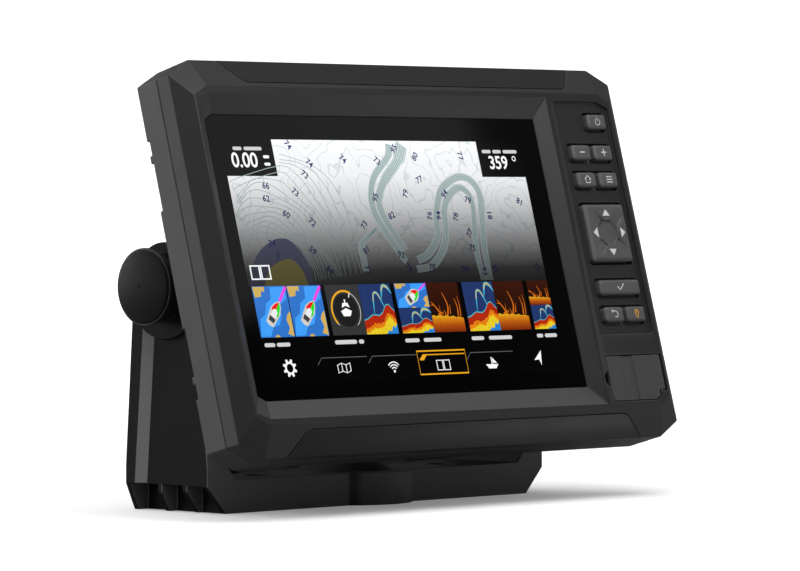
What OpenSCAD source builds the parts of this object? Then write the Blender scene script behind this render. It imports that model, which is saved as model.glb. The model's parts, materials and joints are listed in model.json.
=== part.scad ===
/* [Display unit] */
// Width of the display unit
body_w = 230.6; // [228:0.2:234]
// Height of the display unit, measured along its face
body_h = 144.2; // [143:0.2:147]
// Angle that the face leans back from upright at rest
tilt = 15.5; // [8:0.5:22]
// Height of the flat rim above the glass
lip_h = 3.6; // [3:0.1:4.2]
// Wall thickness of the front and rear shells
wall = 2.5; // [2:0.1:3]

/* [Screen] */
// Width of the cover glass
glass_w = 170.3; // [168:0.1:171]
// Height of the cover glass
glass_h = 103.6; // [102:0.1:104]
// Width of the picture area (seven inches across its corners)
screen_w = 154.1; // [150:0.1:156]
// Height of the picture area
screen_h = 88; // [84:0.5:90]

/* [Keys] */
// Width of a small key
key_w = 10.2; // [9:0.1:10.4]
// Height of a small key
key_h = 5.8; // [5:0.1:6.2]
// Side of the square rocker plate
rocker_w = 22.4; // [21:0.1:22.8]
// How far a key can be pressed
key_travel = 0.8; // [0.4:0.1:1]

/* [Bail] */
// Width over the two arms
bail_w = 176; // [174:1:180]
// Thickness of an arm
arm_t = 8.5; // [8:0.1:9]
// Height of the tilt axis above the surface it is screwed to
pivot_z = 81; // [79:1:90]
// Height of the base tray
tray_h = 12; // [11:0.5:13]
// Distance between screw holes across the base
hole_x = 96; // [80:1:104]
// Distance between screw holes front to back
hole_y = 18; // [16:0.5:19]
// Radius of a screw hole
hole_r = 2.75; // [2.2:0.05:3]

/* [Knobs] */
// Radius of a knob's cap
knob_r = 14; // [12:0.5:14.5]
// Length of a knob from the arm to the rim of its cap
knob_l = 10.6; // [9:0.1:12]

/* [Hidden] */
$fn = 64;
far = 400;
eps = 0.05;

// The unit's own axes: x across, y up along the face, z out of the glass; glass at z = 0
pivot_y = -1.5;
unit_pivot = [0, 2.7, -51.8];
slope_z = -1;
seam_z = -7.3;
flange_z = -18;
bulge_z = -56;
hx = body_w / 2;
hy = body_h / 2;
corner_a = 63;
corner_d = hx - 3.7;
// Distances from the middle to where the flat rim turns down into the outer slope
rim_x = hx - 6.3;
rim_y = hy - 10.7;
rim_d = corner_d - 10.5;

// The screen sits left of the middle
glass_x = -17.8;
glass_d = 91.2;
screen_y = -1.1;
glass_t = 1.8;
tape_t = 0.5;
slope_run_x = 5.3;
slope_run_y = 7.2;
ledge_z = -4.3;
lcd_x = -18.8;
lcd_w = screen_w + 5.1;
lcd_h = screen_h + 8.4;
light_w = lcd_w + 1.8;
light_h = lcd_h + 1.2;
light_z = [-8.6, -4];

// Key field
field_x = [76.5, 107];
field_y = [-33, 58.3];
field_cut = [6.4, 2.8];
field_r = 1.6;
floor_z = lip_h - 1.2;
floor_t = 2;
left_col = 86.5;
right_col = 98.7;
mid_col = (left_col + right_col) / 2;
wide_key = right_col - left_col + key_w;
rows = [50.2, 38, 27.3, 6.5, -14.8, -25.3];
key_gap = 1;
key_r = 1.2;
pocket_r = 1.6;
key_top = lip_h + 0.8;
flange_top = floor_z - floor_t - eps;
rocker_flange_top = -0.55;
mat_z = [-3.4, -2.9];
dome_top = floor_z - floor_t - 1.8 - key_travel;
board_t = 1.6;
rocker_mid_z = -1.975;
key_centres = [
    [right_col, rows[0]], [left_col, rows[1]], [right_col, rows[1]], [left_col, rows[2]],
    [right_col, rows[2]], [mid_col, rows[4]], [left_col, rows[5]], [right_col, rows[5]]
];

// Card door
door_x = [76.8, 108.4];
door_y = [-58.75, -41.05];
door_cut = [7.2, 3.5];
door_t = 1.7;
door_gap = 0.25;
door_axis = [106.4, lip_h - door_t];
door_pin_r = 0.6;
knuckle_y = -54.7;
card_hole_x = [80, 101];
card_hole_y = [-56, -44];

// Trims
trim_t = 1.5;
trim_gap = 0.15;
trim_y = rim_y + 1.7;
// Left and right ends of each trim: at its inner edge, then at its outer edge
top_left = [-82.4, -95.8];
top_right = [85.6, 97.4];
bottom_left = [-84.1, -99.2];
bottom_right = [83.5, 97.8];
trim_round = 1.7;
trim_pegs = [-70, -24, 24, 70];
peg_y = 67.4;

// Rear
bulge_x = 77;
ear_r = 12;
ear_x = bail_w / 2 - arm_t - 1.3;
ear_in = 58;
stud_r = 3;
stud_fit = 0.05;
insert_r = 4.6;
insert_l = 12;
screw_spots = [
    [-105.2, 65.4], [-35, 66.4], [35, 66.4], [105.2, 65.4],
    [-105.2, -65.4], [-35, -66.4], [35, -66.4], [105.2, -65.4]
];
// Sockets: place across the back and radius of the hole
socket_spots = [[-44, 8.6], [-14, 9.6], [16, 7.2]];
socket_y = -24;
socket_top = bulge_z - 8;
socket_base = socket_top + 12;
pin_counts = [4, 12, 5];
pin_rings = [3.4, 5.4, 2.6];

// Inside
chassis_spots = [[-94, 54.5], [-94, -54.5], [58, 54.5], [58, -54.5]];
board_spots = [[-62, 33], [-62, -39], [50, 33], [50, -39]];
chassis_z = [-11, -9];
board_z = [-22, -20.4];
screw_r = 1.5;

// Bail
arm_out = bail_w / 2;
arm_in = arm_out - arm_t;
arm_front = -24.4;
arm_back = 18.8;
head_r = 16;
skin_z = 9.7;
rib_t = 2.2;
rib_ys = [arm_front, -11.9, 1.2, arm_back - rib_t];
rib_cuts = [9, 7.5, 5.3, 4.3];
slot_a = 45;
slot_r = stud_r + 0.4;
slot_mouth = stud_r + 0.1;
panel_deep = 1.6;
panel_lean = 4.2;
tray_ribs = [-60, -38, -19, 0, 19, 38, 60];
boss_r = 24;
boss_y = -7.4;

/* ---------- frames and shared shapes ---------- */

// Carries the unit's own axes into place on the tilt axis
module on_unit() {
    translate([0, pivot_y, pivot_z])
        rotate([90 - tilt, 0, 0])
            translate(-unit_pivot)
                children();
}

// A box given by its two corners
module block(a, b) {
    translate(a)
        cube(b - a);
}

// A round bar along z from z0 to z1
module bar(r, z0, z1) {
    translate([0, 0, z0])
        cylinder(r = r, h = z1 - z0);
}

// A box w wide and h high, centred on a point of the face, from z0 to z1
module slab(x, y, w, h, z0, z1) {
    block([x - w / 2, y - h / 2, z0], [x + w / 2, y + h / 2, z1]);
}

// Where a cut corner meets the top edge, and where it meets the side edge
function corner_x(inset) =
    (corner_d - inset - (hy - inset) * sin(corner_a)) / cos(corner_a);
function corner_y(inset) =
    (corner_d - inset - (hx - inset) * cos(corner_a)) / sin(corner_a);

// Outline of the unit, drawn inwards by inset
module outline(inset = 0) {
    cx = corner_x(inset);
    cy = corner_y(inset);
    x = hx - inset;
    y = hy - inset;
    polygon([
        [cx, y], [x, cy], [x, -cy], [cx, -y],
        [-cx, -y], [-x, -cy], [-x, cy], [-cx, y]
    ]);
}

// Everything outside a sloping face that looks in direction a:
// at distance d0 from the middle at the foot of the slope, and d1 at its top
module beyond_slope(a, d0, d1, z0, z1) {
    rise = (z1 - z0) / (d0 - d1);
    rotate([0, 0, a])
        rotate([90, 0, 0])
            linear_extrude(far, center = true)
                polygon([
                    [d0, z0], [d1 - 10, z1 + 10 * rise],
                    [d0 + 30, z1 + 10 * rise], [d0 + 30, z0]
                ]);
}

// The front of the unit: a flat rim with slopes on every side, drawn inwards by inset
module front_form(inset, z0) {
    top = lip_h - inset;
    foot = slope_z - inset;
    difference() {
        translate([0, 0, z0])
            linear_extrude(top - z0)
                outline(inset);
        for (side = [0, 180])
            beyond_slope(side, hx, rim_x, foot, top);
        for (side = [90, 270])
            beyond_slope(side, hy, rim_y, foot, top);
        for (side = [corner_a, 180 - corner_a, 180 + corner_a, -corner_a])
            beyond_slope(side, corner_d, rim_d, foot, top);
    }
}

// The opening over the glass: its sides slope out from the glass to the rim
module glass_opening() {
    hw = glass_w / 2;
    hh = glass_h / 2;
    up = lip_h + 2;
    run_x = slope_run_x * up / lip_h;
    run_y = slope_run_y * up / lip_h;
    cut_run = 7.7 * up / lip_h;
    difference() {
        intersection() {
            translate([glass_x, 0, 0])
                rotate([90, 0, 0])
                    linear_extrude(far, center = true)
                        polygon([
                            [-hw, -10], [hw, -10], [hw, 0], [hw + run_x, up],
                            [-hw - run_x, up], [-hw, 0]
                        ]);
            rotate([90, 0, 90])
                linear_extrude(far, center = true)
                    polygon([
                        [-hh, -glass_t - tape_t], [hh, -glass_t - tape_t], [hh, 0],
                        [hh + run_y, up], [-hh - run_y, up], [-hh, 0]
                    ]);
        }
        for (side = [180 - corner_a, 180 + corner_a])
            rotate([0, 0, side])
                rotate([90, 0, 0])
                    linear_extrude(far, center = true)
                        polygon([
                            [glass_d, -10], [glass_d, 0], [glass_d + cut_run, up],
                            [glass_d + 60, up], [glass_d + 60, -10]
                        ]);
    }
}

// Outline of the glass, drawn inwards by inset
module glass_outline(inset) {
    intersection() {
        translate([glass_x, 0])
            square([glass_w - 2 * inset, glass_h - 2 * inset], center = true);
        inside_left_corners(glass_d - inset);
    }
}

// Keeps what lies inside both cut corners at the left
module inside_left_corners(d) {
    intersection() {
        rotate(180 - corner_a)
            translate([d - far, -far])
                square([far, 2 * far]);
        rotate(180 + corner_a)
            translate([d - far, -far])
                square([far, 2 * far]);
    }
}

// The point at distance r from a on the way to b
function toward(a, b, r) = a + r * (b - a) / norm(b - a);

// A round corner in three short edges, centred on [x, y], that starts at angle a
function corner(x, y, r, a) =
    [for (k = [0:3]) [x + r * cos(a + 30 * k), y + r * sin(a + 30 * k)]];

// A rectangle with round corners, standing from z0 to z1
module round_slab(x, y, w, h, r, z0, z1) {
    u = w / 2 - r;
    v = h / 2 - r;
    translate([x, y, z0])
        linear_extrude(z1 - z0)
            polygon(concat(
                corner(u, v, r, 0), corner(-u, v, r, 90),
                corner(-u, -v, r, 180), corner(u, -v, r, 270)
            ));
}

// Outline of the key field
module field_outline() {
    polygon(concat(
        corner(field_x[0] + field_r, field_y[0] + field_r, field_r, 180),
        corner(field_x[1] - field_r, field_y[0] + field_r, field_r, 270),
        [
            [field_x[1], field_y[1] - field_cut[1]],
            [field_x[1] - field_cut[0], field_y[1]]
        ],
        corner(field_x[0] + field_r, field_y[1] - field_r, field_r, 90)
    ));
}

// Outline of the card door's pocket, drawn inwards by inset
module door_outline(inset) {
    x0 = door_x[0] + inset;
    x1 = door_x[1] - inset;
    y0 = door_y[0] + inset;
    y1 = door_y[1] - inset;
    r = 1.5 - inset;
    polygon(concat(
        corner(x0 + r, y0 + r, r, 180),
        [[x1 - door_cut[0], y0], [x1, y0 + door_cut[1]], [x1, y1]],
        corner(x0 + r, y1 - r, r, 90)
    ));
}

// A round bar along y on the door's hinge axis
module door_bar(r, y0, y1) {
    translate([door_axis[0], y1, door_axis[1]])
        rotate([90, 0, 0])
            cylinder(r = r, h = y1 - y0);
}

// The block of space that a trim fills: a trapezium whose long side is the unit's outer edge
module trim_zone(gap, left, right) {
    a = [left[0] + gap, trim_y + gap];
    b = [right[0] - gap, trim_y + gap];
    c = [right[1] - gap, hy + 5];
    d = [left[1] + gap, hy + 5];
    translate([0, 0, slope_z - 4 + gap])
        linear_extrude(20)
            polygon([
                toward(a, d, trim_round), toward(a, b, trim_round),
                toward(b, a, trim_round),
                toward(b, c, trim_round), c, d
            ]);
}

// A trim as it sits along the upper edge; the lower one is its mirror image
module trim_panel(left, right) {
    difference() {
        intersection() {
            trim_zone(trim_gap, left, right);
            front_form(0, seam_z);
        }
        front_form(trim_t, seam_z - 1);
    }
    for (x = trim_pegs)
        translate([x, peg_y, 0])
            bar(1.2, -2.6, 0);
}

module trim_recess(left, right) {
    difference() {
        trim_zone(0, left, right);
        front_form(trim_t + 0.1, seam_z - 1);
    }
    for (x = trim_pegs)
        translate([x, peg_y, 0])
            bar(1.25, -2.8, 2);
}

/* ---------- bail ---------- */

// Side view of an arm above height z: straight edges that run up into a round head
module arm_side(z) {
    reach = head_r - 0.05;
    polygon([
        [arm_front, z], [arm_back, z], [arm_back, tray_h + 4],
        [pivot_y + reach, pivot_z], [pivot_y - reach, pivot_z], [arm_front, tray_h + 4]
    ]);
    translate([pivot_y, pivot_z])
        circle(r = head_r);
}

// Stands a side view up and gives it thickness from x0 to x1
module across(x0, x1) {
    translate([x0, 0, 0])
        rotate([90, 0, 90])
            linear_extrude(x1 - x0)
                children();
}

// One arm at the right-hand side
module arm() {
    difference() {
        union() {
            difference() {
                across(arm_in, arm_out)
                    arm_side(skin_z);
                arm_hollow();
            }
            arm_ribs();
            block([arm_in - 2.5, arm_front, 0], [arm_in - 0.6, arm_back, tray_h - 0.5]);
        }
        arm_recess();
        across(arm_in - 5, arm_out + 5)
            arm_slot();
    }
}

// The inside of an arm, open at the foot
module arm_hollow() {
    difference() {
        across(arm_in + 2.4, arm_out - 3.4)
            polygon([[arm_front + 2.6, 0], [arm_back - 2.6, 0], [11, 60], [-12, 60]]);
        for (y = [rib_ys[1], rib_ys[2]])
            block([arm_in, y, 0], [arm_out, y + rib_t, 62]);
    }
}

// Upright walls under an arm, each with its own slanted foot
module arm_ribs() {
    for (i = [0:3])
        translate([0, rib_ys[i] + rib_t, 0])
            rotate([90, 0, 0])
                linear_extrude(rib_t)
                    polygon([
                        [arm_in - 16, 0], [arm_out - rib_cuts[i], 0], [arm_out, skin_z],
                        [arm_out, skin_z + 2], [arm_in, skin_z + 2], [arm_in - 16, skin_z]
                    ]);
}

// Shallow panel on the outer face: it narrows upwards to an arc under the round head,
// and a long bevel runs along its rear edge
module arm_recess() {
    intersection() {
        across(arm_out - panel_deep, arm_out + 1)
            difference() {
                polygon([
                    [-18.8, skin_z - 5], [16, skin_z - 5], [12, 70], [-11.6, 70]
                ]);
                translate([pivot_y, pivot_z])
                    circle(r = head_r + 3);
            }
        translate([0, 9, skin_z])
            rotate([panel_lean, 0, 0])
                translate([0, 0, -10])
                    linear_extrude(90)
                        polygon([
                            [arm_out - panel_deep - 1, -50], [arm_out - panel_deep - 1, -3],
                            [arm_out + 1, 8], [arm_out + 1, -50]
                        ]);
    }
}

// Open slot that lets the stud drop in from above and behind
module arm_slot() {
    translate([pivot_y, pivot_z]) {
        circle(r = slot_r);
        rotate(slot_a)
            translate([0, -slot_mouth])
                square([40, 2 * slot_mouth]);
    }
}

module screw_post(extra_r) {
    cylinder(r = hole_r + extra_r, h = tray_h);
}

module hole_spots() {
    for (x = [-hole_x / 2, hole_x / 2])
        for (y = [-hole_y / 2, hole_y / 2])
            translate([x, y, 0])
                children();
}

// Round bulge in the middle of the front wall, kept in front of the tray
module front_boss(inset, z0, z1) {
    intersection() {
        translate([0, boss_y, z0])
            cylinder(r = boss_r - inset, h = z1 - z0);
        block([-far, -far, z0], [far, arm_front + 3, z1]);
    }
}

module tray() {
    x = arm_in - 0.6;
    block([-arm_in - 0.5, arm_front, tray_h - 2.3], [arm_in + 0.5, arm_back, tray_h]);
    block([-x, arm_front, 0], [x, arm_front + 2.4, tray_h]);
    block([-x, arm_back - 2.4, 0], [x, arm_back, tray_h + 3]);
    front_boss(0, 0, tray_h);
    for (x = tray_ribs)
        block([x - 1, arm_front, 0], [x + 1, arm_back, tray_h]);
    hole_spots()
        screw_post(4.8);
    // Raised dish in the middle of the tray
    translate([0, boss_y + 2, tray_h - 0.5])
        cylinder(r1 = 19, r2 = 11, h = 4.5);
    // Slanted shoulders beside it
    for (s = [-1, 1])
        translate([s * 32, arm_back - 9, tray_h - 0.5])
            rotate([90, 0, 90])
                linear_extrude(26, center = true)
                    polygon([[-9, 0], [9, 0], [9, 3.5], [6, 3.5]]);
}

module bail_bracket() color("#2b2b2c") {
    difference() {
        union() {
            tray();
            for (s = [0, 1])
                mirror([s, 0, 0]) {
                    arm();
                    arm_fillet();
                }
        }
        hole_spots() {
            translate([0, 0, -1])
                cylinder(r = hole_r, h = tray_h + 2);
            translate([0, 0, tray_h - 2.75])
                cylinder(r1 = hole_r, r2 = hole_r + 2.8, h = 2.8);
        }
        translate([0, boss_y + 2, tray_h + 2])
            cylinder(r1 = 7, r2 = 10.5, h = 2.1);
    }
}

// Sloping inner corner between the tray and an arm
module arm_fillet() {
    translate([0, arm_back, 0])
        rotate([90, 0, 0])
            linear_extrude(arm_back - arm_front)
                polygon([
                    [arm_in - 5.6, tray_h - 1], [arm_in + 0.5, tray_h - 1],
                    [arm_in + 0.5, tray_h + 6.4], [arm_in, tray_h + 6.4],
                    [arm_in - 5.6, tray_h]
                ]);
}

/* ---------- shells ---------- */

module key_pockets() {
    for (spot = [[right_col, rows[0], key_w, key_h], [mid_col, rows[1], wide_key, key_h],
                 [mid_col, rows[2], wide_key, key_h], [mid_col, rows[3], rocker_w, rocker_w],
                 [mid_col, rows[4], wide_key, key_h], [mid_col, rows[5], wide_key, key_h]])
        round_slab(
            spot[0], spot[1], spot[2] + 2 * key_gap, spot[3] + 2 * key_gap, pocket_r, -8, 6
        );
}

module front_bezel() color("#333435") on_unit()
    difference() {
        union() {
            difference() {
                front_form(0, seam_z);
                // Hollow behind the rim, all round and under the keys
                translate([0, 0, seam_z - 1])
                    linear_extrude(ledge_z - seam_z + 1)
                        outline(wall);
                block([74.5, -37, seam_z], [hx - 4.3, 61, floor_z - floor_t]);
                block([74.5, -60, seam_z], [hx - 6, -39, door_axis[1] - 3.4]);
            }
            for (p = screw_spots)
                translate([p[0], p[1], 0])
                    bar(3.6, seam_z, -2);
            for (p = chassis_spots)
                translate([p[0], p[1], 0])
                    bar(2.8, -9, -4);
        }
        glass_opening();
        slab(glass_x, 0, glass_w - 6.9, glass_h - 4.2, -8, 0);
        translate([0, 0, floor_z])
            linear_extrude(5)
                field_outline();
        key_pockets();
        door_pocket();
        trim_recess(top_left, top_right);
        mirror([0, 1, 0])
            trim_recess(bottom_left, bottom_right);
        for (p = screw_spots)
            translate([p[0], p[1], 0])
                bar(1.5, seam_z - 1, -3);
        for (p = chassis_spots)
            translate([p[0], p[1], 0])
                bar(screw_r + eps, -10, -4.6);
    }

module door_pocket() {
    translate([0, 0, door_axis[1] - 0.25])
        linear_extrude(5)
            difference() {
                door_outline(0);
                // The lug that holds the pin's lower end
                translate([door_axis[0] - 1.9, door_y[0] - 1])
                    square([10, knuckle_y - 0.4 - (door_y[0] - 1)]);
            }
    door_bar(1.95, knuckle_y - 0.25, door_y[1]);
    door_bar(door_pin_r + 0.05, -56.4, -39.4);
    block([card_hole_x[0], card_hole_y[0], -8], [card_hole_x[1], card_hole_y[1], 4]);
    // Finger notch at the left edge
    translate([door_x[0] + 0.6, (door_y[0] + door_y[1]) / 2, lip_h])
        sphere(r = 3);
}

module top_trim() color("#2f3031") on_unit()
    trim_panel(top_left, top_right);

module bottom_trim() color("#2f3031") on_unit()
    mirror([0, 1, 0])
        trim_panel(bottom_left, bottom_right);

// Side view of the rear bulge, drawn inwards by inset
module bulge_side(inset) {
    z = bulge_z + inset;
    polygon([
        [-60 + inset, flange_z + 4], [-60 + inset, flange_z], [-47 + inset, -51 + inset],
        [-40 + inset, z], [40 - inset, z], [50 - inset, -46 + inset],
        [60 - inset, flange_z], [60 - inset, flange_z + 4]
    ]);
}

module bulge(inset) {
    across(-bulge_x + inset, bulge_x - inset)
        bulge_side(inset);
}

// A round bar along x on the tilt axis, seen in the unit's own axes
module pivot_bar(r, x0, x1) {
    translate([x0, unit_pivot[1], unit_pivot[2]])
        rotate([0, 90, 0])
            cylinder(r = r, h = x1 - x0);
}

// Shallow steps along the rear edge of each side, with one catch standing in each
module edge_steps() {
    for (s = [-1, 1])
        for (m = [-1, 1])
            difference() {
                slab(s * (hx - 1.5), m * 34, 5, 25, flange_z - 1, flange_z + 1.2);
                slab(s * (hx - 1.5), m * 40, 6, 3, flange_z - 2, flange_z + 2);
            }
}

module rear_housing() color("#3a3b3c") on_unit()
    difference() {
        union() {
            difference() {
                union() {
                    translate([0, 0, flange_z])
                        linear_extrude(seam_z - flange_z)
                            outline();
                    bulge(0);
                    for (s = [0, 1])
                        mirror([s, 0, 0])
                            pivot_bar(ear_r, ear_in, ear_x);
                    rear_fins();
                }
                translate([0, 0, flange_z + wall])
                    linear_extrude(20)
                        outline(wall);
                bulge(wall);
            }
            for (s = [0, 1])
                mirror([s, 0, 0])
                    pivot_bar(ear_r, ear_in, bulge_x);
            for (p = screw_spots)
                translate([p[0], p[1], 0])
                    bar(3.6, flange_z, seam_z);
            socket_seats();
        }
        edge_steps();
        for (s = [0, 1])
            mirror([s, 0, 0])
                pivot_bar(insert_r, ear_x - insert_l, ear_x + 1);
        for (p = screw_spots)
            translate([p[0], p[1], 0]) {
                bar(1.7, flange_z - 1, seam_z + 1);
                bar(3.1, flange_z - 1, flange_z + 2);
            }
        for (p = socket_spots)
            translate([p[0], socket_y, 0])
                bar(p[1], bulge_z - 9, bulge_z + 9);
        translate([40, 20, 0])
            bar(4, bulge_z - 1, bulge_z + 5);
        gasket_ring(1.25, 1.85, seam_z - 1.2, seam_z + 1);
    }

// Raised collars round the sockets
module socket_seats() {
    for (p = socket_spots)
        translate([p[0], socket_y, 0])
            difference() {
                bar(p[1] + 1.6, bulge_z - 2, bulge_z + 7);
                bar(p[1] - 1, bulge_z - 3, bulge_z + 8);
            }
}

// Upright cooling fins across the upper part of the back
module rear_fins() {
    for (x = [-48:8:28])
        slab(x, 18, 2, 36, bulge_z - 2.5, bulge_z + 1);
}

/* ---------- glass and screen ---------- */

module display_glass() color("#0b0c0e") on_unit()
    translate([0, 0, -glass_t])
        linear_extrude(glass_t)
            glass_outline(0.15);

module glass_gasket() color("#151515") on_unit()
    translate([0, 0, -glass_t - tape_t])
        linear_extrude(tape_t)
            difference() {
                glass_outline(0.3);
                translate([glass_x, 0])
                    square([glass_w - 6.6, glass_h - 4], center = true);
            }

module lcd_panel() color("#203040") on_unit()
    slab(lcd_x, screen_y, lcd_w, lcd_h, light_z[1], -glass_t);

module backlight_unit() color("#c8c8c4") on_unit()
    difference() {
        slab(lcd_x + 0.6, screen_y + 0.6, light_w, light_h, light_z[0], light_z[1]);
        for (x = [-50, 0, 40])
            slab(x, 0, 24, 60, light_z[0] - 1, light_z[0] + 0.6);
    }

/* ---------- inside ---------- */

// Pressed plate behind the screen, with folded long edges and four standoffs for the board
module chassis_plate() color("#b8babc") on_unit()
    difference() {
        union() {
            slab(glass_x, 0, 168, 120, chassis_z[0], chassis_z[1]);
            for (y = [-59, 59])
                slab(glass_x, y, 168, 2, -15, chassis_z[1]);
            for (p = board_spots)
                translate([p[0], p[1], 0])
                    bar(3, board_z[1] + eps, chassis_z[0] + 1);
        }
        for (p = chassis_spots)
            translate([p[0], p[1], 0])
                bar(screw_r + 0.1, -16, -8);
        for (p = board_spots)
            translate([p[0], p[1], 0])
                bar(screw_r + eps, board_z[1] - 1, -13);
        slab(20, -40, 30, 6, -12, -8);
        slab(-60, 0, 40, 24, -12, -8);
    }

// A screw whose head stands behind height z
module short_screw(p, z) {
    translate([p[0], p[1], 0]) {
        bar(screw_r, z - 1.8, z + 6);
        bar(3, z - 1.8, z - eps);
    }
}

module chassis_screws() color("#8f9194") on_unit() {
    for (p = chassis_spots)
        short_screw(p, chassis_z[0]);
    for (p = board_spots)
        short_screw(p, board_z[0]);
}

module main_board() color("#1f5a35") on_unit() {
    difference() {
        slab(-6, -3, 124, 84, board_z[0], board_z[1]);
        for (p = board_spots)
            translate([p[0], p[1], 0])
                bar(screw_r + 0.1, board_z[0] - 1, board_z[1] + 1);
    }
    for (x = [-50, -30, 20, 40])
        slab(x, -34, 9, 7, -24.5, board_z[0]);
    for (x = [-52:8:-20])
        translate([x, 20, 0])
            bar(2.6, -30, board_z[0]);
    slab(32, 14, 22, 12, -24, board_z[0]);
}

module processor_shield() color("#c2c4c6") on_unit()
    difference() {
        slab(0, 8, 34, 34, -26, -22);
        slab(0, 8, 33, 33, -25.4, -21);
    }

module beeper() color("#17181a") on_unit()
    translate([46, -14, 0])
        difference() {
            bar(6, -28, -22);
            bar(1.2, -29, -26);
        }

module satellite_antenna() color("#d8cfae") on_unit() {
    slab(0, 48, 25, 14, -15, chassis_z[0] - eps);
    translate([0, 48, 0])
        bar(1, -16, -15);
}

module wireless_antenna() color("#2a6a42") on_unit()
    slab(38, 48, 30, 8, -12.3, chassis_z[0] - eps);

module display_flex() color("#b0762c") on_unit()
    slab(20, -40, 20, 0.3, board_z[1], light_z[0]);

module keypad_flex() color("#b0762c") on_unit() {
    slab(84, 0, 0.3, 14, -13.3, mat_z[0] - board_t);
    slab(67, 0, 34, 14, -13.3, -13);
    slab(50.15, 0, 0.3, 14, board_z[1], -13);
}

module keypad_board() color("#1f5a35") on_unit()
    difference() {
        slab(92.6, 12, 33.6, 94, mat_z[0] - board_t, mat_z[0]);
        translate([mid_col, rows[3], 0])
            bar(2.2, -8, 0);
    }

module keypad_mat() color("#1b1b1c") on_unit()
    difference() {
        union() {
            slab(92.6, 12, 32.4, 92, mat_z[0], mat_z[1]);
            for (p = key_centres)
                translate([p[0], p[1], 0])
                    bar(2.4, mat_z[1] - 0.1, dome_top);
            for (a = [0:90:270])
                translate([mid_col, rows[3], 0])
                    rotate(a)
                        translate([8, 0, 0])
                            bar(2.2, mat_z[1] - 0.1, dome_top - 0.1);
        }
        translate([mid_col, rows[3], 0])
            bar(4.5, -8, 0);
    }

module dpad_post() color("#9a9c9e") on_unit()
    translate([mid_col, rows[3], 0]) {
        bar(2.15, mat_z[0] - board_t - 0.6, mat_z[0] - 0.05);
        bar(1.4, mat_z[0] - 0.1, rocker_mid_z);
        bar(3.4, mat_z[0] - board_t - 1.2, mat_z[0] - board_t);
    }

module card_reader() color("#a9abad") on_unit()
    difference() {
        slab(90.5, -50, 22.4, 13.4, -12, -1.9);
        for (y = [-52.6, -47.4])
            slab(90.5, y, 12, 1.1, -11, 0);
    }

module door_hinge_pin() color("#a0a2a4") on_unit()
    door_bar(door_pin_r, -56.2, -39.6);

module gasket_ring(in0, in1, z0, z1) {
    translate([0, 0, z0])
        linear_extrude(z1 - z0)
            difference() {
                outline(in0);
                outline(in1);
            }
}

module housing_gasket() color("#101010") on_unit()
    gasket_ring(1.3, 1.8, seam_z - 1.15, seam_z);

module housing_screws() color("#8f9194") on_unit()
    for (p = screw_spots)
        translate([p[0], p[1], 0])
            difference() {
                union() {
                    bar(1.45, flange_z + 1, -3.4);
                    bar(2.8, flange_z + 0.2, flange_z + 2);
                }
                translate([0, 0, flange_z])
                    cylinder(r = 1.3, h = 1.4, $fn = 6);
            }

module vent_plug() color("#1c1c1d") on_unit()
    translate([40, 20, 0])
        difference() {
            bar(3.95, bulge_z - 1.2, bulge_z + 2);
            bar(2.6, bulge_z - 2, bulge_z - 0.6);
        }

// A socket: a sleeve with a floor and, on one side, a slot for the plug's key
module socket(k) {
    r = socket_spots[k][1] - 0.05;
    translate([socket_spots[k][0], socket_y, 0])
        difference() {
            union() {
                bar(r, socket_top, socket_base + 2.5);
                bar(r + 1.5, bulge_z - 3.4, bulge_z - 2.05);
            }
            bar(r - 1.5, socket_top - 1, socket_base);
            slab(0, r - 1.5, 2, 1.4, socket_top - 1, socket_base);
        }
}

module power_socket() color("#1d1e1f") on_unit()
    socket(0);

module transducer_socket() color("#1d1e1f") on_unit()
    socket(1);

module network_socket() color("#1d1e1f") on_unit()
    socket(2);

// Brass pins standing on the floor of each socket
module socket_pins() color("#b8933e") on_unit()
    for (k = [0:2])
        translate([socket_spots[k][0], socket_y, 0])
            for (i = [0:pin_counts[k] - 1])
                rotate(i * 360 / pin_counts[k])
                    translate([pin_rings[k], 0, 0])
                        bar(0.6, socket_base - 4.5, socket_base);

module pivot_inserts() color("#b8933e") on_unit()
    for (s = [0, 1])
        mirror([s, 0, 0])
            difference() {
                pivot_bar(insert_r - 0.02, ear_x - insert_l + 0.05, ear_x - 0.1);
                pivot_bar(stud_r + stud_fit, ear_x - insert_l + 2, ear_x + 1);
            }

module friction_washers() color("#141414") on_unit()
    for (s = [0, 1])
        mirror([s, 0, 0])
            difference() {
                pivot_bar(ear_r - 1, ear_x + 0.02, arm_in - 0.08);
                pivot_bar(stud_r + 0.5, ear_x - 1, arm_in + 1);
            }

/* ---------- keys ---------- */

// A key cap with bevelled edges on a wider flange that holds it behind the front
module key(x, y, w, h, bevel, flange_z1, side) {
    intersection() {
        round_slab(x, y, w, h, key_r, flange_z1 - 0.5, key_top);
        translate([x, y, 0])
            rotate([90, 0, 0])
                linear_extrude(far, center = true)
                    bevelled(w, bevel);
        translate([x, y, 0])
            rotate([90, 0, 90])
                linear_extrude(far, center = true)
                    bevelled(h, bevel);
    }
    slab(x, y, w + 2 * side, h + 3.4, flange_z1 - 1, flange_z1);
}

module bevelled(w, b) {
    h = w / 2;
    polygon([
        [-h, -6], [h, -6], [h, key_top - b * 0.8], [h - b, key_top],
        [-h + b, key_top], [-h, key_top - b * 0.8]
    ]);
}

module small_key(x, y, w) {
    key(x, y, w, key_h, 0.9, flange_top, 0.7);
}

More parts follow.
